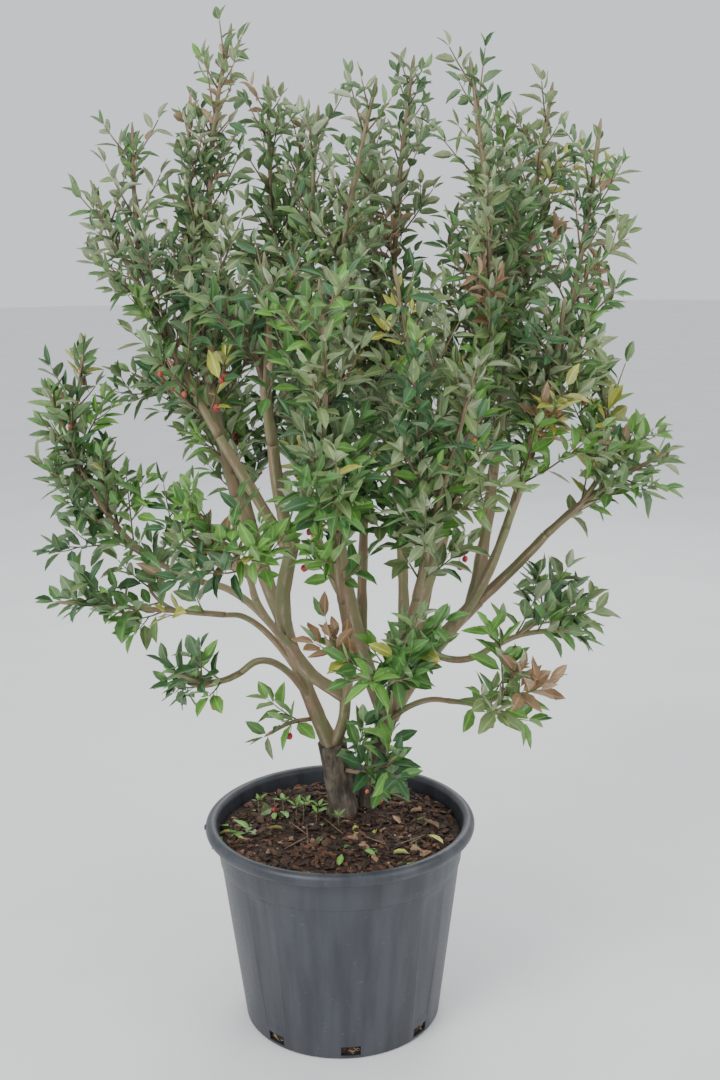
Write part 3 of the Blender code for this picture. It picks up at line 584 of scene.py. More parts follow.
def mixed(tree, share, first, second):
    """A colour between two, each a colour or another node's output."""
    return node_with(tree, "ShaderNodeMix", {0: share, 6: first, 7: second}, data_type="RGBA").outputs[2]


def attribute(tree, name):
    return node_with(tree, "ShaderNodeAttribute", {}, attribute_name=name).outputs["Fac"]


def ranged(tree, value, low, high, to_low=0.0, to_high=1.0):
    return node_with(tree, "ShaderNodeMapRange", {
        "Value": value, "From Min": low, "From Max": high, "To Min": to_low, "To Max": to_high,
    }).outputs[0]


def finished(name, color, roughness, grain, bump, depth=0.002):
    """A finish: color is a function of its tree, roughness a span, grain a scale and a stretch."""
    made = bpy.data.materials.new(name)
    made.use_nodes = True
    tree = made.node_tree
    fine = drift(tree, *grain, 0.3, 0.7)
    raised = node_with(tree, "ShaderNodeBump", {
        "Strength": bump, "Distance": depth, "Height": fine["Height"],
    })
    feed(tree, tree.nodes["Principled BSDF"], {
        "Base Color": color(tree),
        "Roughness": ranged(tree, fine["Mask"], 0.0, 1.0, *roughness),
        "Normal": raised.outputs[0],
    })
    return made


def mottled(name, low, high, scale, roughness, bump=0.3):
    """A finish that drifts between two colours."""
    def color(tree):
        return mixed(tree, drift(tree, scale)["Mask"], low, high)
    return finished(name, color, roughness, (scale * GRAIN_FINENESS, 1.0), bump)


def corky(name, first, second, cork, scale, roughness, bump):
    """Bark between its grooves and its cork, which the mesh marks."""
    def color(tree):
        groove = mixed(tree, drift(tree, scale, 0.3)["Mask"], first, second)
        ridge = mixed(tree, drift(tree, scale * 3, 0.5)["Mask"], cork, tuple(c * CORK_SHADE for c in cork))
        return mixed(tree, attribute(tree, "cork"), groove, ridge)
    return finished(name, color, roughness, (scale * 6, 0.35), bump)


def blade_finish(name, blade, roughness):
    """A leaf's face, a little uneven, with a paler midrib."""
    pale = tuple(min(1.0, c * 1.5 + 0.03) for c in blade)
    dark, light = (tuple(c * shade for c in blade) for shade in BLADE_SHADES)

    def color(tree):
        body = mixed(tree, drift(tree, 60.0)["Mask"], dark, light)
        return mixed(tree, ranged(tree, attribute(tree, "rib"), *RIB_EDGE), body, pale)
    return finished(name, color, roughness, (260.0, 1.0), 0.15, FINE_BUMP)


def pot_finish():
    """Moulded plastic with faint upright streaks, and dust that gathers in scuffs."""
    def color(tree):
        body = mixed(tree, drift(tree, 34.0, 0.06)["Mask"], SLATE, SLATE_LIGHT)
        dust = drift(tree, 130.0, 1.0, 0.66, 0.82)["Mask"]
        return mixed(tree, ranged(tree, dust, 0.0, 1.0, 0.0, DUST_SHARE), body, DUST)
    return finished("pot_plastic_finish", color, (0.36, 0.50), (420.0, 1.0), 0.06, FINE_BUMP)


# Pot and compost


def wall_radius(height):
    return POT_BASE_RADIUS + POT_FLARE * height


def flute_inset(angle, height):
    """How far the wall is pressed in at a flat flute."""
    pitch = math.tau / FLUTE_COUNT
    off = abs((angle - FLUTE_TURN + math.pi / 2 + pitch / 2) % pitch - pitch / 2)
    climb = (height - FLUTE_LOW) / (FLUTE_HIGH - FLUTE_LOW)
    width = FLUTE_FOOT_WIDTH + (FLUTE_TOP_WIDTH - FLUTE_FOOT_WIDTH) * climb
    wall = wall_radius(height)
    half = math.asin(width / 2 / wall)
    if not 0.0 < climb < 1.0 or off > half:
        return 0.0
    pressed = max(0.0, wall - (wall - FLUTE_DEPTH) / math.cos(off))
    ends = eased(min(climb, 1.0 - climb) * (FLUTE_HIGH - FLUTE_LOW) / FLUTE_RAMP)
    return pressed * eased((half - off) / FLUTE_SOFT) * ends


def between(first, second):
    """The angle between two directions round the pot."""
    return abs((first - second + math.pi) % math.tau - math.pi)


def pot_columns():
    """Angles round the pot, closer at the flutes' edges and set on the slots' sides."""
    angles = {round(i * math.tau / POT_COLUMNS, 4) for i in range(POT_COLUMNS)}
    for i in range(FLUTE_COUNT):
        middle = FLUTE_TURN - math.pi / 2 + i * math.tau / FLUTE_COUNT
        for k in range(FLUTE_COLUMNS):
            off = math.radians(FLUTE_EDGE_FROM + FLUTE_EDGE_SPAN * k / FLUTE_COLUMNS)
            angles |= {round((middle + side * off) % math.tau, 4) for side in (-1, 1)}
    angles = sorted(angles)
    half = math.asin(SLOT_WIDTH / 2 / wall_radius(SLOT_TOP))
    sides = []
    for i in range(SLOT_COUNT):
        middle = SLOT_TURN - math.pi / 2 + i * math.tau / SLOT_COUNT
        sides += [(middle - half) % math.tau, (middle + half) % math.tau]
    kept = [a for a in angles if min(between(a, side) for side in sides) > COLUMN_GAP]
    return sorted(kept + sides), half


def in_slot(angle, half):
    pitch = math.tau / SLOT_COUNT
    return abs((angle - SLOT_TURN + math.pi / 2 + pitch / 2) % pitch - pitch / 2) < half


def pot_outline():
    """The pot's rows, from the floor's middle up the inside, over the lip and down to the base's middle."""
    low = POT_FLOOR + 0.002
    rows = [(0.0, POT_FLOOR), (wall_radius(POT_FLOOR) - POT_WALL, POT_FLOOR)]
    rows += [(wall_radius(z) - POT_WALL, z) for z in (low, SLOT_TOP, 0.15, COLLAR_TOP)]
    middle = RIM_RADIUS - LIP_WIDTH / 2
    centre = POT_HEIGHT - LIP_DEPTH / 2
    for i in range(LIP_STEPS + 1):
        angle = math.pi * (1.0 - 1.5 * i / LIP_STEPS)
        rows.append((middle + LIP_WIDTH / 2 * math.cos(angle), centre + LIP_DEPTH / 2 * math.sin(angle)))
    proud = COLLAR_PROUD
    rows += [(wall_radius(COLLAR_TOP) + proud + 0.0012, COLLAR_TOP + 0.003)]
    rows += [(wall_radius(z) + proud, z) for z in (COLLAR_TOP - 0.001, 0.300, 0.286, COLLAR_FOOT + 0.001)]
    rows += [(wall_radius(COLLAR_FOOT) + proud * 0.75, COLLAR_FOOT)]
    first_outer = len(rows)
    heights = [COLLAR_FOOT - 0.0012, FLUTE_HIGH, FLUTE_HIGH - 0.004, FLUTE_HIGH - 0.008]
    while heights[-1] - ROW_STEP > FLUTE_LOW + 0.010:
        heights.append(heights[-1] - ROW_STEP)
    heights += [FLUTE_LOW + 0.008, FLUTE_LOW + 0.004, FLUTE_LOW, SLOT_TOP]
    slot_row = len(rows) + len(heights) - 1
    heights += [low, BASE_CHAMFER]
    rows += [(wall_radius(z), z) for z in heights]
    rows += [(POT_BASE_RADIUS - BASE_CHAMFER * 0.4, 0.0008)]
    rows += [(POT_BASE_RADIUS - BASE_CHAMFER, 0.0), (0.0, 0.0)]
    return rows, first_outer, slot_row


def pot_mesh():
    rows, first_outer, slot_row = pot_outline()
    inner_row = 2
    angles, half = pot_columns()
    count = len(angles)
    verts = []
    for number, (radius, height) in enumerate(rows):
        for angle in angles:
            inset = flute_inset(angle, height) if first_outer <= number < len(rows) - 3 else 0.0
            reach = radius - inset
            verts.append((reach * math.cos(angle), reach * math.sin(angle), height))
    faces = []
    slotted = []
    for column in range(count):
        after = angles[(column + 1) % count] + (math.tau if column == count - 1 else 0.0)
        slotted.append(in_slot((angles[column] + after) / 2, half))

    def quad(*corners):
        faces.append([row * count + column % count for row, column in corners])

    for row in range(len(rows) - 1):
        for column in range(count):
            if not (slotted[column] and row in (inner_row, slot_row)):
                quad((row, column), (row + 1, column), (row + 1, column + 1), (row, column + 1))
    top, foot = slot_row, slot_row + 1
    low, high = inner_row, inner_row + 1
    for column in range(count):
        after = column + 1
        before = slotted[column - 1]
        if slotted[column]:
            quad((top, after), (top, column), (high, column), (high, after))
            quad((foot, column), (foot, after), (low, after), (low, column))
        if slotted[column] and not before:
            quad((top, column), (foot, column), (low, column), (high, column))
        if before and not slotted[column]:
            quad((foot, column), (top, column), (high, column), (low, column))
    work = bmesh.new()
    mesh = bpy.data.meshes.new("pot_wall")
    mesh.from_pydata(verts, [], faces)
    work.from_mesh(mesh)
    bmesh.ops.remove_doubles(work, verts=work.verts, dist=0.00001)
    work.to_mesh(mesh)
    work.free()
    mesh.shade_smooth()
    mesh.set_sharp_from_angle(angle=SHARP_ANGLE)
    return mesh


def nub_mesh():
    """The little moulding nub on the outside of the lip."""
    ball = bmesh.new()
    bmesh.ops.create_uvsphere(ball, u_segments=16, v_segments=10, radius=NUB_RADIUS)
    bmesh.ops.scale(ball, vec=(0.6, 1.5, 1.0), verts=ball.verts)
    place = (-RIM_RADIUS + 0.0012, -0.02, POT_HEIGHT - LIP_DEPTH / 2)
    bmesh.ops.translate(ball, vec=place, verts=ball.verts)
    mesh = bpy.data.meshes.new("lip_nub")
    ball.to_mesh(mesh)
    ball.free()
    mesh.shade_smooth()
    return mesh


def soil_height(x, y):
    """The compost's surface: flat in the middle, lower by the wall, and lumpy."""
    edge = wall_radius(SOIL_EDGE) - POT_WALL
    fall = min(1.0, max(0.0, math.hypot(x, y) - SOIL_FLAT_RADIUS) / (edge - SOIL_FLAT_RADIUS))
    level = SOIL_TOP - (SOIL_TOP - SOIL_EDGE) * fall
    lumps = SOIL_LUMPS * noise.noise(Vector((x * 26, y * 26, 0.0)))
    return level + lumps + SOIL_CRUMBS * noise.noise(Vector((x * 110, y * 110, 4.0))) - SOIL_SINK


def bed_mesh():
    """The compost as one closed lump that fills the pot."""
    edge = wall_radius(SOIL_EDGE) - POT_WALL - BED_GAP
    foot = POT_FLOOR + 0.0006
    rows = [(edge * ring / BED_RINGS, None) for ring in range(1, BED_RINGS + 1)]
    rows += [(wall_radius(height) - POT_WALL - 0.0008, height) for height in (*BED_HEIGHTS, foot)]
    verts = []
    for radius, height in rows:
        for column in range(BED_COLUMNS):
            angle = column * math.tau / BED_COLUMNS
            spread = radius
            if height:
                spread -= BED_DENTS * abs(noise.noise(Vector((angle * 14, height * 160, 2.0))))
            x, y = spread * math.cos(angle), spread * math.sin(angle)
            verts.append((x, y, height if height else soil_height(x, y)))
    verts += [(0.0, 0.0, soil_height(0.0, 0.0)), (0.0, 0.0, foot)]
    faces = [face[:1] + face[:0:-1] for face in tube_faces(BED_COLUMNS, len(rows))]
    mesh = bpy.data.meshes.new("compost_bed")
    mesh.from_pydata(verts, [], faces)
    mesh.shade_smooth()
    return mesh


# Shapes that are dealt out many times


def shape_object(name, verts, faces, group, unders=None, ribs=None, outline=None):
    """One shape of a set, its lower faces and midrib marked, flat-faced unless an outline is given."""
    mesh = bpy.data.meshes.new(name)
    mesh.from_pydata(verts, [], faces)
    under = mesh.attributes.new("under", "FLOAT", "FACE")
    under.data.foreach_set("value", unders or [0.0] * len(faces))
    rib = mesh.attributes.new("rib", "FLOAT", "POINT")
    rib.data.foreach_set("value", ribs or [0.0] * len(verts))
    if outline is not None:
        mesh.shade_smooth()
        edges = mesh.attributes.new("sharp_edge", "BOOLEAN", "EDGE")
        edges.data.foreach_set("value", [set(edge.vertices) <= outline for edge in mesh.edges])
    group.objects.link(bpy.data.objects.new(name, mesh))


def leaf_blade(name, roll, fold, droop, twist, group):
    """A pointed elliptic blade of length one along X, thin and closed, its top facing +Z."""
    rows = []
    for along in LEAF_STATIONS:
        share = (along - LEAF_STATIONS[0]) / (1.0 - LEAF_STATIONS[0])
        wide = math.sin(math.pi * share ** BLADE_WIDEST) ** BLADE_FULLNESS if share > 0 else 0.05
        half = LEAF_RATIO / 2 * wide
        row = []
        for across in LEAF_ACROSS:
            turn = roll * across
            y = half * math.sin(turn) / roll
            z = half * (1.0 - math.cos(turn)) / roll + fold * abs(across) * half - droop * along * along
            lean = twist * along
            place = (along, y * math.cos(lean) - z * math.sin(lean), y * math.sin(lean) + z * math.cos(lean))
            row.append(place)
        rows.append(row)
    verts = [(0.0, 0.0, 0.0), (1.0, 0.0, -droop)]
    ribs = [1.0, 1.0]
    top = []
    for row in rows:
        top.append(list(range(len(verts), len(verts) + 5)))
        verts += row
        ribs += [0.0, 0.5, 1.0, 0.5, 0.0]
    bottom = []
    for indices, row in zip(top, rows):
        inner = list(range(len(verts), len(verts) + 3))
        verts += [(x, y, z - LEAF_THICKNESS) for x, y, z in row[1:4]]
        ribs += [0.5, 1.0, 0.5]
        bottom.append([indices[0], *inner, indices[4]])
    faces = []
    unders = []
    for layer, under in ((top, 0.0), (bottom, 1.0)):
        found = []
        for before, after in zip(layer, layer[1:]):
            found += [(before[j], after[j], after[j + 1], before[j + 1]) for j in range(4)]
        found += [(0, layer[0][j], layer[0][j + 1]) for j in range(4)]
        found += [(layer[-1][j], 1, layer[-1][j + 1]) for j in range(4)]
        faces += [face[::-1] for face in found] if under else found
        unders += [under] * len(found)
    outline = {0, 1} | {row[0] for row in top} | {row[4] for row in top}
    shape_object(name, verts, faces, group, unders, ribs, outline)


def leaf_shapes():
    group = bpy.data.collections.new("leaf_shapes")
    leaf_blade("blade_0_flat", 0.30, 0.14, 0.05, 0.0, group)
    leaf_blade("blade_1_arched", 0.45, 0.06, 0.22, 0.15, group)
    leaf_blade("blade_2_folded", 0.60, 0.40, 0.12, -0.2, group)
    leaf_blade("blade_3_curled", 1.60, 0.10, 0.30, 0.35, group)
    leaf_blade("blade_4_rolled", 2.30, 0.0, 0.16, -0.5, group)
    leaf_blade("blade_5_raised", 0.55, 0.22, -0.18, 0.1, group)
    return group


def capsule_shapes():
    """A four-lobed seed capsule that hangs below the point on its thin stalk."""
    group = bpy.data.collections.new("capsule_shapes")
    ball = bmesh.new()
    bmesh.ops.create_uvsphere(ball, u_segments=12, v_segments=6, radius=CAPSULE_RADIUS)
    for vert in ball.verts:
        angle = math.atan2(vert.co.y, vert.co.x)
        lobe = 1.0 + 0.16 * math.cos(4 * angle)
        vert.co = (vert.co.x * lobe, vert.co.y * lobe, vert.co.z * 1.25 - CAPSULE_DROP)
    verts = [tuple(vert.co) for vert in ball.verts]
    faces = [[vert.index for vert in face.verts] for face in ball.faces]
    ball.free()
    body = len(faces)
    stalk = swept([Vector((0, 0, 0)), Vector((0.001, 0, -0.008)), Vector((0, 0, -CAPSULE_DROP))],
                  [0.0006, 0.0005, 0.0006], 4)
    start = len(verts)
    verts += stalk[0]
    faces += [[index + start for index in face] for face in stalk[1]]
    unders = [0.0] * body + [1.0] * (len(faces) - body)
    shape_object("capsule_0", verts, faces, group, unders, None, set())
    return group


def chip_shapes():
    """Angular chips of bark, about one long."""
    group = bpy.data.collections.new("chip_shapes")
    rng = random.Random("chips")
    for number in range(6):
        work = bmesh.new()
        flat = rng.uniform(0.16, 0.34)
        wide = rng.uniform(0.3, 0.7)
        for _ in range(13):
            spot = Vector([rng.uniform(-1, 1) for _ in range(3)]).normalized()
            work.verts.new((spot.x * 0.5, spot.y * 0.5 * wide, spot.z * 0.5 * flat))
        hull = bmesh.ops.convex_hull(work, input=work.verts)
        loose = [item for item in hull["geom_interior"] if isinstance(item, bmesh.types.BMVert)]
        bmesh.ops.delete(work, geom=loose, context="VERTS")
        work.verts.index_update()
        verts = [tuple(vert.co) for vert in work.verts]
        faces = [[vert.index for vert in face.verts] for face in work.faces]
        work.free()
        shape_object(f"chip_{number}", verts, faces, group)
    return group


def dealing_tree(name, finishes):
    """Geometry nodes that stand a shape on each point and give it that point's finish."""
    tree = bpy.data.node_groups.new(name, "GeometryNodeTree")
    for label, kind in (("Points", "Geometry"), ("Shapes", "Collection"), ("Size", "Float")):
        tree.interface.new_socket(label, in_out="INPUT", socket_type="NodeSocket" + kind)
    tree.interface.new_socket("Pieces", in_out="OUTPUT", socket_type="NodeSocketGeometry")
    start = tree.nodes.new("NodeGroupInput").outputs

    def held(kind, label):
        node = node_with(tree, "GeometryNodeInputNamedAttribute", {"Name": label}, data_type=kind)
        return node.outputs["Attribute"]

    def calculated(operation, first, second):
        node = node_with(tree, "ShaderNodeMath", {0: first, 1: second, 2: 0.5}, operation=operation)
        return node.outputs[0]

    shapes = node_with(tree, "GeometryNodeCollectionInfo", {
        "Collection": start["Shapes"], "Separate Children": True, "Reset Children": True,
    })
    turn = node_with(tree, "FunctionNodeEulerToRotation", {0: held("FLOAT_VECTOR", "turn")})
    stand = node_with(tree, "GeometryNodeInstanceOnPoints", {
        "Points": start["Points"],
        "Instance": shapes.outputs[0],
        "Pick Instance": True,
        "Instance Index": held("INT", "shape"),
        "Rotation": turn.outputs[0],
        "Scale": calculated("MULTIPLY", held("FLOAT", "size"), start["Size"]),
    })
    geometry = node_with(tree, "GeometryNodeRealizeInstances", {0: stand.outputs[0]}).outputs[0]
    for number, (upper, lower) in enumerate(finishes):
        chosen = calculated("COMPARE", held("FLOAT", "finish"), float(number))
        beneath = calculated("MULTIPLY", chosen, held("FLOAT", "under"))
        for finish, selection in ((upper, chosen), (lower, beneath)):
            if finish is not None:
                geometry = node_with(tree, "GeometryNodeSetMaterial", {
                    "Geometry": geometry, "Selection": selection, "Material": finish,
                }).outputs[0]
    node_with(tree, "NodeGroupOutput", {0: geometry})
    return tree


def dealt(name, points, shapes, tree):
    """The plain mesh of shapes dealt on points, each (place, turn, size, shape, finish)."""
    cloud = bpy.data.meshes.new(name + "_points")
    cloud.from_pydata([tuple(point[0]) for point in points], [], [])
    turns = [value for point in points for value in point[1]]
    cloud.attributes.new("turn", "FLOAT_VECTOR", "POINT").data.foreach_set("vector", turns)
    for column, label, kind in ((2, "size", "FLOAT"), (3, "shape", "INT"), (4, "finish", "FLOAT")):
        values = [point[column] for point in points]
        cloud.attributes.new(label, kind, "POINT").data.foreach_set("value", values)
    host = plain_object(name + "_host", cloud)
    modifier = host.modifiers.new("Dealt", "NODES")
    modifier.node_group = tree
    identifiers = {item.name: item.identifier for item in tree.interface.items_tree}
    modifier[identifiers["Shapes"]] = shapes
    modifier[identifiers["Size"]] = 1.0
    bpy.context.view_layer.update()
    graph = bpy.context.evaluated_depsgraph_get()
    mesh = bpy.data.meshes.new_from_object(
        host.evaluated_get(graph), preserve_all_data_layers=True, depsgraph=graph)
    mesh.name = name
    host.modifiers.remove(modifier)
    bpy.data.objects.remove(host)
    for label in ("turn", "size", "shape", "finish"):
        found = mesh.attributes.get(label)
        if found is not None:
            mesh.attributes.remove(found)
    return mesh


def drop_shapes(group):
    for obj in list(group.objects):
        bpy.data.objects.remove(obj)
    bpy.data.collections.remove(group)


# Limbs


def limb_path(name, paths):
    """The centre line of a trunk or bough and its radii, from inside the limb that carries it."""
    if name in TRUNKS:
        foot, bend, tip = (Vector(place) for place in TRUNKS[name][:3])
        points = curve_through(foot, bend, tip, TRUNK_RINGS)
        points[1] = Vector((foot.x, foot.y, points[1].z * 0.5 + foot.z * 0.5))
    else:
        carrier, share, bend, tip = BOUGHS[name][:4]
        foot = point_along(paths[carrier][0], share)
        points = curve_through(foot, Vector(bend), Vector(tip), LIMB_RINGS)
    foot_radius, tip_radius = (TRUNKS.get(name) or BOUGHS[name])[-2:]
    shares = [i / (len(points) - 1) for i in range(len(points))]
    return points, [foot_radius + (tip_radius - foot_radius) * share for share in shares]


def flare_swell(line, sides):
    """The root flare's spread at each ring and side."""
    swell = np.zeros((len(line), sides))
    for row, place in enumerate(line):
        rise = max(0.0, (place.z - line[0].z - PLANTED) / FLARE_HEIGHT)
        for column in range(sides):
            lobe = 1.0 + 0.45 * math.cos(FLARE_LOBES * column * math.tau / sides)
            swell[row, column] = FLARE_SPREAD * max(0.0, 1.0 - rise) ** 2 * lobe
    return swell


def limb_mesh(name, points, radii, number):
    old = name in TRUNKS
    step, sides = (TRUNK_STEP, TRUNK_SIDES) if old else (BOUGH_STEP, BOUGH_SIDES)
    if old:
        points = [points[0] - Vector((0.0, 0.0, PLANTED))] + points
        radii = radii[:1] + radii
    line, sizes = smooth(points, radii, step)
    wing = 0.0 if old else WING_LOW + WING_GAIN * eased((line[-1].z - WING_FOOT) / WING_SPAN)
    swell, cork = bark_section(line, sides, number * WING_TURN, wing, TRUNK_ROUGH if old else BOUGH_ROUGH)
    if name == "trunk":
        swell += flare_swell(line, sides)
    if not old:
        run = 0.0
        for row in range(1, len(line)):
            run += (line[row] - line[row - 1]).length
            swell[row] += COLLAR_SWELL * math.exp(-run / COLLAR_REACH) * eased(run / COLLAR_START)
    gathered = Gathered()
    gathered.add(swept(line, sizes, sides, (swell, cork)))
    return gathered.mesh(name + "_bark")


# Shoots, twigs and leaves


def leader_paths(name, paths):
    """The leading shoots of a mass: the first from its bough, the rest from the first."""
    bough, _, *tips = MASSES[name]
    points, radii = paths[bough]
    if name in SPRIGS:
        share, side = SPRIGS[name]
        heading = Vector(side).normalized()
        foot = point_along(points, share) + heading * radii[0] * SPRIG_SEAT
        start_radius = SPRIG_RADIUS
    else:
        heading = (points[-1] - points[-2]).normalized()
        foot = points[-1]
        start_radius = radii[-1] * LEADER_START
    rng = random.Random(name)
    found = []
    for number, tip in enumerate(tips):
        tip = Vector(tip)
        if number > 0:
            foot = found[0][0][number]
            start_radius = found[0][1][number] * SIDE_LEADER_START
        span = (tip - foot).length
        handle = foot + heading * span * LEADER_HANDLE
        count = max(4, round(span / LEADER_STEP) + 1)
        tip_radius = min(LEADER_TIP_RADIUS, start_radius)
        line = []
        sizes = []
        for i in range(count):
            t = i / (count - 1)
            sway = Vector((rng.uniform(-1, 1), rng.uniform(-1, 1), 0.0)) * LEADER_SWAY * math.sin(math.pi * t)
            line.append((1 - t) ** 2 * foot + 2 * t * (1 - t) * handle + t * t * tip + sway)
            sizes.append(start_radius + (tip_radius - start_radius) * i / (count - 1))
        found.append((line, sizes))
    return found


def owner_of(point, lines):
    """The mass whose leading shoots pass nearest to the point."""
    place = np.array(tuple(point))
    return min(lines, key=lambda name: np.linalg.norm(lines[name] - place, axis=1).min())


def aim_from(along, turn, tilt, rng):
    """A direction that leaves a line at the tilt, turned about it."""
    side = along.orthogonal().normalized()
    side.rotate(Matrix.Rotation(turn, 3, along.normalized()))
    aim = along.normalized() * math.cos(tilt) + side * math.sin(tilt)
    aim.z += rng.uniform(*AIM_RISE)
    return aim.normalized()


def climb_of(place):
    return min(1.0, max(0.0, (place.z - CROWN_FOOT) / (CROWN_TOP - CROWN_FOOT)))


def spray_tint(place, rng):
    """The tint of one spray: fresher and deeper low in the crown, olive and grey towards its top, and with
    painted shade inside the crown, where more sprays take the deep tint towards its middle.
    """
    climb = climb_of(place)
    weights = [low + (high - low) * climb for low, high in zip(LOW_TINTS, HIGH_TINTS)]
    out = (Vector((place.x, place.y, 0.0)) - CROWN_AXIS).length
    # Painted shade: more deep-green sprays towards the crown's middle
    weights[DEEP_TINT] += INSIDE_SHADE_WEIGHT * max(0.0, 1.0 - min(1.0, out / SHADED_INSIDE_REACH))
    return rng.choices(range(len(TINTS)), weights)[0]


def leaf_turn(aim, up):
    across = up.cross(aim).normalized()
    return Matrix((aim, across, aim.cross(across))).transposed().to_euler()


def one_leaf(root, aim, size, tint, rng):
    """A leaf's point: it faces up and outwards, and those near the top are more curled."""
    climb = climb_of(root)
    outward = (Vector((root.x, root.y, 0.0)) - CROWN_AXIS).normalized()
    sway = Vector([rng.uniform(-LEAF_SWAY, LEAF_SWAY) for _ in range(3)])
    turn = leaf_turn(aim, outward * 0.5 + Vector((0.0, 0.0, 0.9)) + sway)
    weights = [low + (high - low) * climb for low, high in zip(LOW_SHAPES, HIGH_SHAPES)]
    shape = rng.choices(range(len(LOW_SHAPES)), weights)[0]
    if rng.random() < STRAY_TINTS:
        tint = spray_tint(root, rng)
    return root, turn, size, shape, tint


def leaves_along(twig, first, size, tint, rng, found):
    """Opposite pairs of leaves along a twig, each pair a quarter turn on, and a last pair at its tip."""
    length = run_of(twig)
    turn = rng.uniform(0, math.tau)
    place = first
    while place < length - 0.004:
        share = place / length
        root = point_along(twig, share)
        heading = heading_at(twig, share)
        grown = size * (0.70 + 0.34 * math.sin(math.pi * min(1.0, share * 0.8 + 0.1)))
        for side in (0.0, math.pi):
            aim = aim_from(heading, turn + side, math.radians(rng.uniform(*LEAF_TILT)), rng)
            if rng.random() > LEAF_LOSS:
                found.append(one_leaf(root, aim, grown * rng.uniform(0.82, 1.14), tint, rng))
        turn += math.pi / 2 + rng.uniform(-0.3, 0.3)
        place += LEAF_STEP * rng.uniform(*STEP_SPREAD)
    for side in (0.0, math.pi):
        aim = aim_from(heading_at(twig, 1.0), turn + side, math.radians(rng.uniform(*TIP_LEAF_TILT)), rng)
        found.append(one_leaf(twig[-1], aim, size * rng.uniform(0.6, 0.9), tint, rng))


def bent_twig(root, aim, span):
    """A twig that leaves along its aim and turns up towards the light."""
    tip = root + aim * span + Vector((0.0, 0.0, span * TWIG_RISE))
    middle = root.lerp(tip, 0.5) - Vector((0.0, 0.0, span * TWIG_SAG))
    return curve_through(root, middle, tip, 4)


def leaf_size(place):
    """How long the leaves are at a place: shorter towards the crown's top."""
    return HIGH_LEAF + (LOW_LEAF - HIGH_LEAF) * (1.0 - climb_of(place))


def grow_mass(name, paths, lines, capsules):
    """One mass's wood and leaves, grown from its leading shoots within its own space."""
    rng = random.Random(name + " sprays")
    reach = MASSES[name][1]
    wood = Gathered()
    leaves = []
    for number, (coarse, sizes) in enumerate(paths):
        line, radii = smooth(coarse, sizes, SHOOT_STEP)
        section = bark_section(line, SHOOT_SIDES, len(name) + number * 5.3, SHOOT_WING, SHOOT_ROUGH)
        radii[-1] *= SHOOT_POINT
        wood.add(swept(line, radii, SHOOT_SIDES, section), 0 if line[0].z < BROWN_SHOOTS else 1)
        length = run_of(line)
        turn = rng.uniform(0, math.tau)
        place = SPRIG_BARE_FOOT if name in SPRIGS else BARE_FOOT
        while place < length - BARE_TIP:
            share = place / length
            root = point_along(line, share)
            for side in (0.0, math.pi):
                if rng.random() < TWIG_LOSS:
                    continue
                full = (reach + TWIG_EXTRA) * (1.0 - TWIG_TAPER * share) * rng.uniform(0.45, 1.0)
                tilt = math.radians(rng.uniform(*TWIG_TILT))
                aim = aim_from(heading_at(line, share), turn + side, tilt, rng)
                for span in (full, full * 0.6, full * 0.35):
                    twig = bent_twig(root, aim, span)
                    if twig[-1].z > POT_HEIGHT + 0.01 and owner_of(twig[-1], lines) == name:
                        dress_twig(twig, span, wood, leaves, capsules, rng)
                        break
            turn += math.pi / 2 + rng.uniform(-0.35, 0.35)
            place += NODE_STEP * rng.uniform(*STEP_SPREAD)
        crest = line[int(len(line) * CREST_START):-3 if line[-1].z > BARE_TOPS else None]
        leaves_along(crest, 0.01, leaf_size(line[-1]) * 0.85, spray_tint(line[-1], rng), rng, leaves)
    return wood, leaves


def dress_twig(twig, span, wood, leaves, capsules, rng):
    """Adds one twig with its twiglets, leaves and now and then a few capsules."""
    tint = spray_tint(twig[-1], rng)
    size = leaf_size(twig[-1])
    radii = [TWIG_RADIUS + (TWIG_TIP_RADIUS - TWIG_RADIUS) * i / 3 for i in range(4)]
    finish = 2 if twig[-1].z < GREEN_TWIGS else 1
    wood.add(swept(twig, radii, TWIG_SIDES), finish)
    leaves_along(twig, span * 0.22, size, tint, rng, leaves)
    if span > TWIGLET_SPAN:
        for share in TWIGLET_SHARES:
            aim = aim_from(heading_at(twig, share), rng.uniform(0, math.tau), TWIGLET_TILT, rng)
            twiglet = bent_twig(point_along(twig, share), aim, span * rng.uniform(0.3, 0.5))
            wood.add(swept(twiglet, [radius * 0.7 for radius in radii], TWIG_SIDES), finish)
            leaves_along(twiglet, 0.012, size * 0.9, tint, rng, leaves)
    if twig[-1].z < CAPSULE_TOP and rng.random() < CAPSULE_SHARE:
        for _ in range(rng.randint(1, 3)):
            root = point_along(twig, rng.uniform(0.35, 0.95))
            turn = (rng.uniform(-0.3, 0.3), rng.uniform(-0.3, 0.3), rng.uniform(0, math.tau))
            capsules.append((root, turn, rng.uniform(0.75, 1.15), 0, rng.choice((0, 0, 1))))


# What lies on the compost


def on_soil(x, y, rise):
    return Vector((x, y, soil_height(x, y) + rise))


def chip_points():
    rng = random.Random("mulch")
    points = []
    for number in range(CHIP_COUNT + SPECK_COUNT):
        radius = CHIP_REACH * math.sqrt(rng.random())
        angle = rng.uniform(0, math.tau)
        x, y = radius * math.cos(angle), radius * math.sin(angle)
        size = rng.choice(CHIP_SIZES) * rng.uniform(0.8, 1.25)
        near = math.hypot(x - TAN_CHIP_PLACE[0], y - TAN_CHIP_PLACE[1])
        tan = 3 + 16 * math.exp(-(near / TAN_CHIP_SPREAD) ** 2)
        finish = rng.choices(range(4), (52, 26, 14, tan))[0]
        if number >= CHIP_COUNT:
            size = rng.uniform(0.0018, 0.0034)
            finish = 4
        turn = (rng.gauss(0, 0.3), rng.gauss(0, 0.3), rng.uniform(0, math.tau))
        points.append((on_soil(x, y, rng.uniform(0.0, 0.0035)), turn, size, rng.randrange(6), finish))
    return points


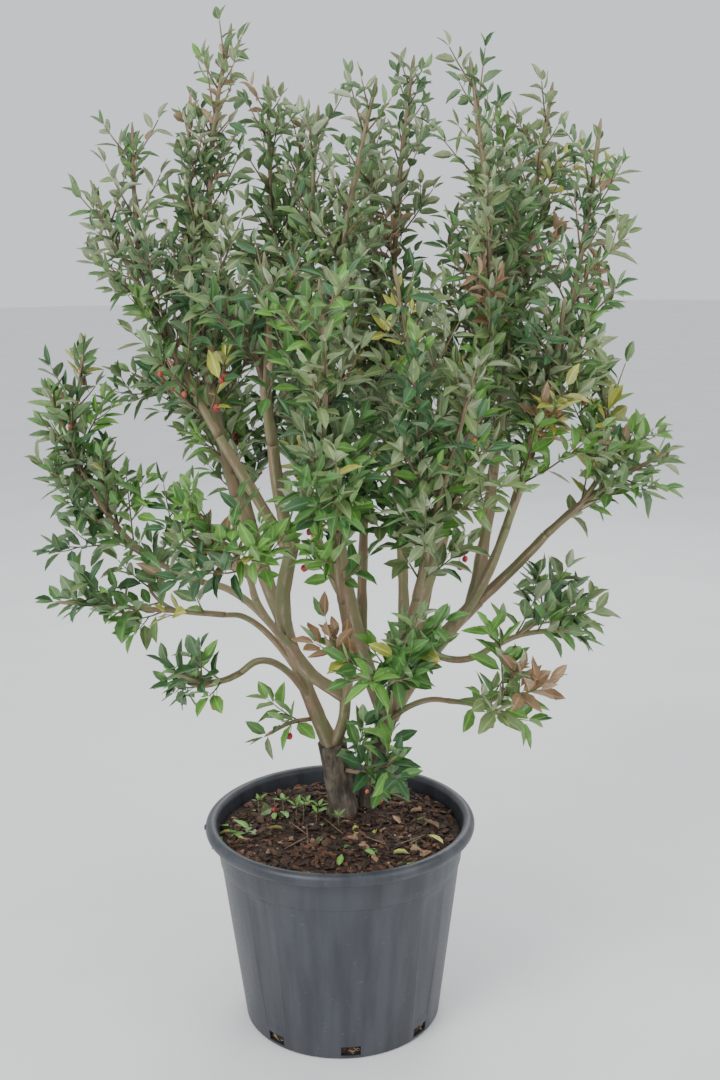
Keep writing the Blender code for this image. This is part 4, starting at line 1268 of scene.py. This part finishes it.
def fallen_leaf_points(rng):
    """Leaves on the compost, a heap of them by its left edge, and one big tan leaf."""
    points = []
    for number in range(LITTER_COUNT):
        radius = LITTER_REACH * math.sqrt(rng.random())
        angle = rng.uniform(0, math.tau)
        x, y = radius * math.cos(angle), radius * math.sin(angle)
        if number < LITTER_COUNT // 3:
            x = HEAP_PLACE[0] + rng.gauss(0, HEAP_SPREAD[0])
            y = HEAP_PLACE[1] + rng.gauss(0, HEAP_SPREAD[1])
        turn = (rng.gauss(0, 0.35), rng.gauss(0, 0.35), rng.uniform(0, math.tau))
        place = on_soil(x, y, rng.uniform(0.003, 0.008))
        tint = rng.choices(range(len(TINTS)), LITTER_TINTS)[0]
        points.append((place, turn, rng.uniform(*FALLEN_LEAF), rng.choice((0, 1, 2, 3)), tint))
    points.append((on_soil(*TAN_LEAF_PLACE, 0.008), (0.35, -0.2, 2.1), 0.040, 3, len(TINTS) - 1))
    return points


def plant_seedlings(rng, points, wood):
    for _ in range(SEEDLING_COUNT):
        x = SEEDLING_PLACE[0] + rng.gauss(0, SEEDLING_SPREAD[0])
        y = SEEDLING_PLACE[1] + rng.gauss(0, SEEDLING_SPREAD[1])
        foot = on_soil(x, y, -0.002)
        lean = Vector((rng.uniform(-0.006, 0.006), rng.uniform(-0.006, 0.006), rng.uniform(0.015, 0.034)))
        tip = foot + lean
        wood.add(swept([foot, foot.lerp(tip, 0.5), tip], SEEDLING_RADII, TWIG_SIDES), 0)
        turn = rng.uniform(0, math.tau)
        for side in range(4):
            aim = aim_from(tip - foot, turn + side * math.pi / 2, math.radians(rng.uniform(55, 80)), rng)
            euler = leaf_turn(aim, Vector((rng.uniform(-0.2, 0.2), 0.1, 1.0)))
            points.append((tip, euler, rng.uniform(0.012, 0.021), rng.choice((0, 1, 5)), 0))


def drop_twigs(rng, wood):
    """Thin dry twigs that lie on the compost."""
    for _ in range(FALLEN_TWIGS):
        middle = on_soil(rng.uniform(-0.12, 0.12), rng.uniform(-0.12, 0.12), 0.006)
        aim = Vector((rng.uniform(-1, 1), rng.uniform(-1, 1), rng.uniform(-0.05, 0.1))).normalized()
        half = aim * rng.uniform(0.012, 0.034)
        wood.add(swept([middle - half, middle, middle + half], FALLEN_TWIG_RADII, TWIG_SIDES), 1)


def lay_slot_roots(rng, wood):
    """Thin roots that lie against the inside of each drain slot."""
    for slot in range(SLOT_COUNT):
        centre = SLOT_TURN - math.pi / 2 + slot * math.tau / SLOT_COUNT
        for _ in range(SLOT_ROOTS):
            line = []
            start = centre + rng.uniform(-0.08, 0.08)
            height = rng.uniform(0.010, 0.021)
            for i in range(4):
                angle = start + (i - 1.5) * rng.uniform(0.008, 0.022)
                reach = wall_radius(height) - POT_WALL - 0.0002
                line.append(Vector((reach * math.cos(angle), reach * math.sin(angle), height)))
                height += rng.uniform(-0.004, 0.002)
            wood.add(swept(line, SLOT_ROOT_RADII, TWIG_SIDES), 2)


# Stage


def add_light(name, place, size, energy):
    data = bpy.data.lights.new(name, "AREA")
    data.shape = "DISK"
    data.size = size
    data.energy = energy
    lamp = bpy.data.objects.new(name, data)
    bpy.context.scene.collection.objects.link(lamp)
    lamp.location = place
    lamp.rotation_euler = (Vector(LIGHT_TARGET) - Vector(place)).to_track_quat("-Z", "Y").to_euler()


def set_stage():
    """A pale floor, soft light from all round and a large lamp high on the left."""
    disc = bmesh.new()
    bmesh.ops.create_circle(disc, cap_ends=True, segments=96, radius=24.0)
    mesh = bpy.data.meshes.new("studio_floor")
    disc.to_mesh(mesh)
    disc.free()
    mesh.materials.append(mottled("floor_finish", (0.80,) * 3, (0.83,) * 3, 3.0, (0.6, 0.7), 0.0))
    plain_object("studio_floor", mesh)
    world = bpy.data.worlds.new("soft_sky")
    world.use_nodes = True
    feed(world.node_tree, world.node_tree.nodes["Background"], {"Color": (0.90, 0.93, 0.96), "Strength": 1.0})
    bpy.context.scene.world = world
    add_light("key", (-2.2, -2.6, 3.4), 2.2, 120.0)
    add_light("fill", (2.8, -1.8, 2.2), 2.6, 45.0)
    add_light("back", (0.6, 3.0, 3.0), 2.4, 50.0)


def set_camera():
    data = bpy.data.cameras.new("camera")
    data.sensor_width = CAMERA_SENSOR
    data.lens = CAMERA_LENS
    camera = bpy.data.objects.new("camera", data)
    bpy.context.scene.collection.objects.link(camera)
    tilt = Matrix.Rotation(math.pi / 2 - CAMERA_PITCH, 4, "X")
    lean = Matrix.Rotation(CAMERA_ROLL, 4, "Z")
    camera.matrix_world = Matrix.Translation(CAMERA_PLACE) @ tilt @ lean
    bpy.context.scene.camera = camera


def dress_pot():
    plastic = pot_finish()
    dress("pot_wall", pot_mesh(), ("pot",), (plastic,))
    dress("lip_nub", nub_mesh(), (), (plastic,))
    soil = mottled("compost_finish", SOIL_DARK, SOIL_LIGHT, 90.0, (0.9, 1.0), 0.8)
    dress("compost_bed", bed_mesh(), ("compost",), (soil,))
    finishes = [(mottled(*colours, 120.0, (0.75, 0.95), 0.5), None) for colours in CHIP_COLOURS]
    chips = chip_shapes()
    dress("bark_chips", dealt("bark_chips", chip_points(), chips, dealing_tree("Chips", finishes)))
    drop_shapes(chips)


def dress_limbs(stem_bark):
    """Barks every trunk and bough, and returns their centre lines and radii."""
    old_bark = corky("old_bark_finish", BARK_CRACK, BARK_GROOVE, BARK_PLATE, 60.0, (0.8, 0.95), 0.7)
    paths = {}
    for number, name in enumerate([*TRUNKS, *BOUGHS]):
        paths[name] = limb_path(name, paths)
        mesh = limb_mesh(name, *paths[name], number)
        old = name in TRUNKS
        dress(name + "_bark", mesh, (name,), (old_bark if old else stem_bark,))
    return paths


def dress_crown(paths, barks, blades, leaf_tree):
    """Grows every mass, and returns the points of its seed capsules."""
    leaders = {name: leader_paths(name, paths) for name in MASSES}
    lines = {}
    for name, found in leaders.items():
        fine = [point for line, sizes in found for point in smooth(line, sizes, OWNER_STEP)[0]]
        lines[name] = np.array([tuple(point) for point in fine])
    capsules = []
    for name, found in leaders.items():
        wood, leaves = grow_mass(name, found, lines, capsules)
        label = name.replace("_foliage", "")
        dress(label + "_shoots", wood.mesh(label + "_shoots"), (), barks)
        dress(label + "_leaves", dealt(label + "_leaves", leaves, blades, leaf_tree), (name,))
    return capsules


def dress_litter(barks, blades, leaf_tree):
    rng = random.Random("litter")
    wood = Gathered()
    points = fallen_leaf_points(rng)
    plant_seedlings(rng, points, wood)
    drop_twigs(rng, wood)
    lay_slot_roots(rng, wood)
    stem_bark, shoot_bark, twig_bark = barks
    dress("fallen_leaves", dealt("fallen_leaves", points, blades, leaf_tree))
    dress("sticks_and_roots", wood.mesh("sticks_and_roots"), (), (twig_bark, shoot_bark, stem_bark))


def dress_capsules(capsules):
    crimson = mottled("crimson_capsule", (0.420, 0.030, 0.050), (0.560, 0.060, 0.060), 90.0, (0.35, 0.5), 0.1)
    coral = mottled("coral_capsule", (0.620, 0.130, 0.090), (0.700, 0.200, 0.120), 90.0, (0.35, 0.5), 0.1)
    stalk = mottled("capsule_stalk", (0.220, 0.160, 0.070), (0.300, 0.120, 0.080), 90.0, (0.5, 0.6), 0.1)
    pods = capsule_shapes()
    capsule_tree = dealing_tree("Capsules", ((crimson, stalk), (coral, stalk)))
    capsules.append((Vector(FALLEN_CAPSULE), (0.2, 0.1, 0.0), 1.0, 0, 0))
    dress("seed_capsules", dealt("seed_capsules", capsules, pods, capsule_tree))
    drop_shapes(pods)


def main():
    set_camera()
    set_stage()
    barks = (
        corky("stem_bark_finish", STEM_TAN, STEM_GREEN, CORK, 34.0, (0.65, 0.85), 0.5),
        corky("shoot_bark_finish", SHOOT_BROWN, STEM_TAN, SHOOT_CORK, 40.0, (0.6, 0.8), 0.4),
        mottled("green_twig_finish", TWIG_GREEN, TWIG_TAN, 40.0, (0.5, 0.65), 0.2),
    )
    tints = [
        (blade_finish(name, upper, (0.42, 0.55)), blade_finish(name + "_under", lower, (0.6, 0.75)))
        for name, upper, lower in TINTS
    ]
    dress_pot()
    paths = dress_limbs(barks[0])
    blades = leaf_shapes()
    leaf_tree = dealing_tree("Leaves", tints)
    capsules = dress_crown(paths, barks, blades, leaf_tree)
    dress_litter(barks, blades, leaf_tree)
    drop_shapes(blades)
    dress_capsules(capsules)


main()
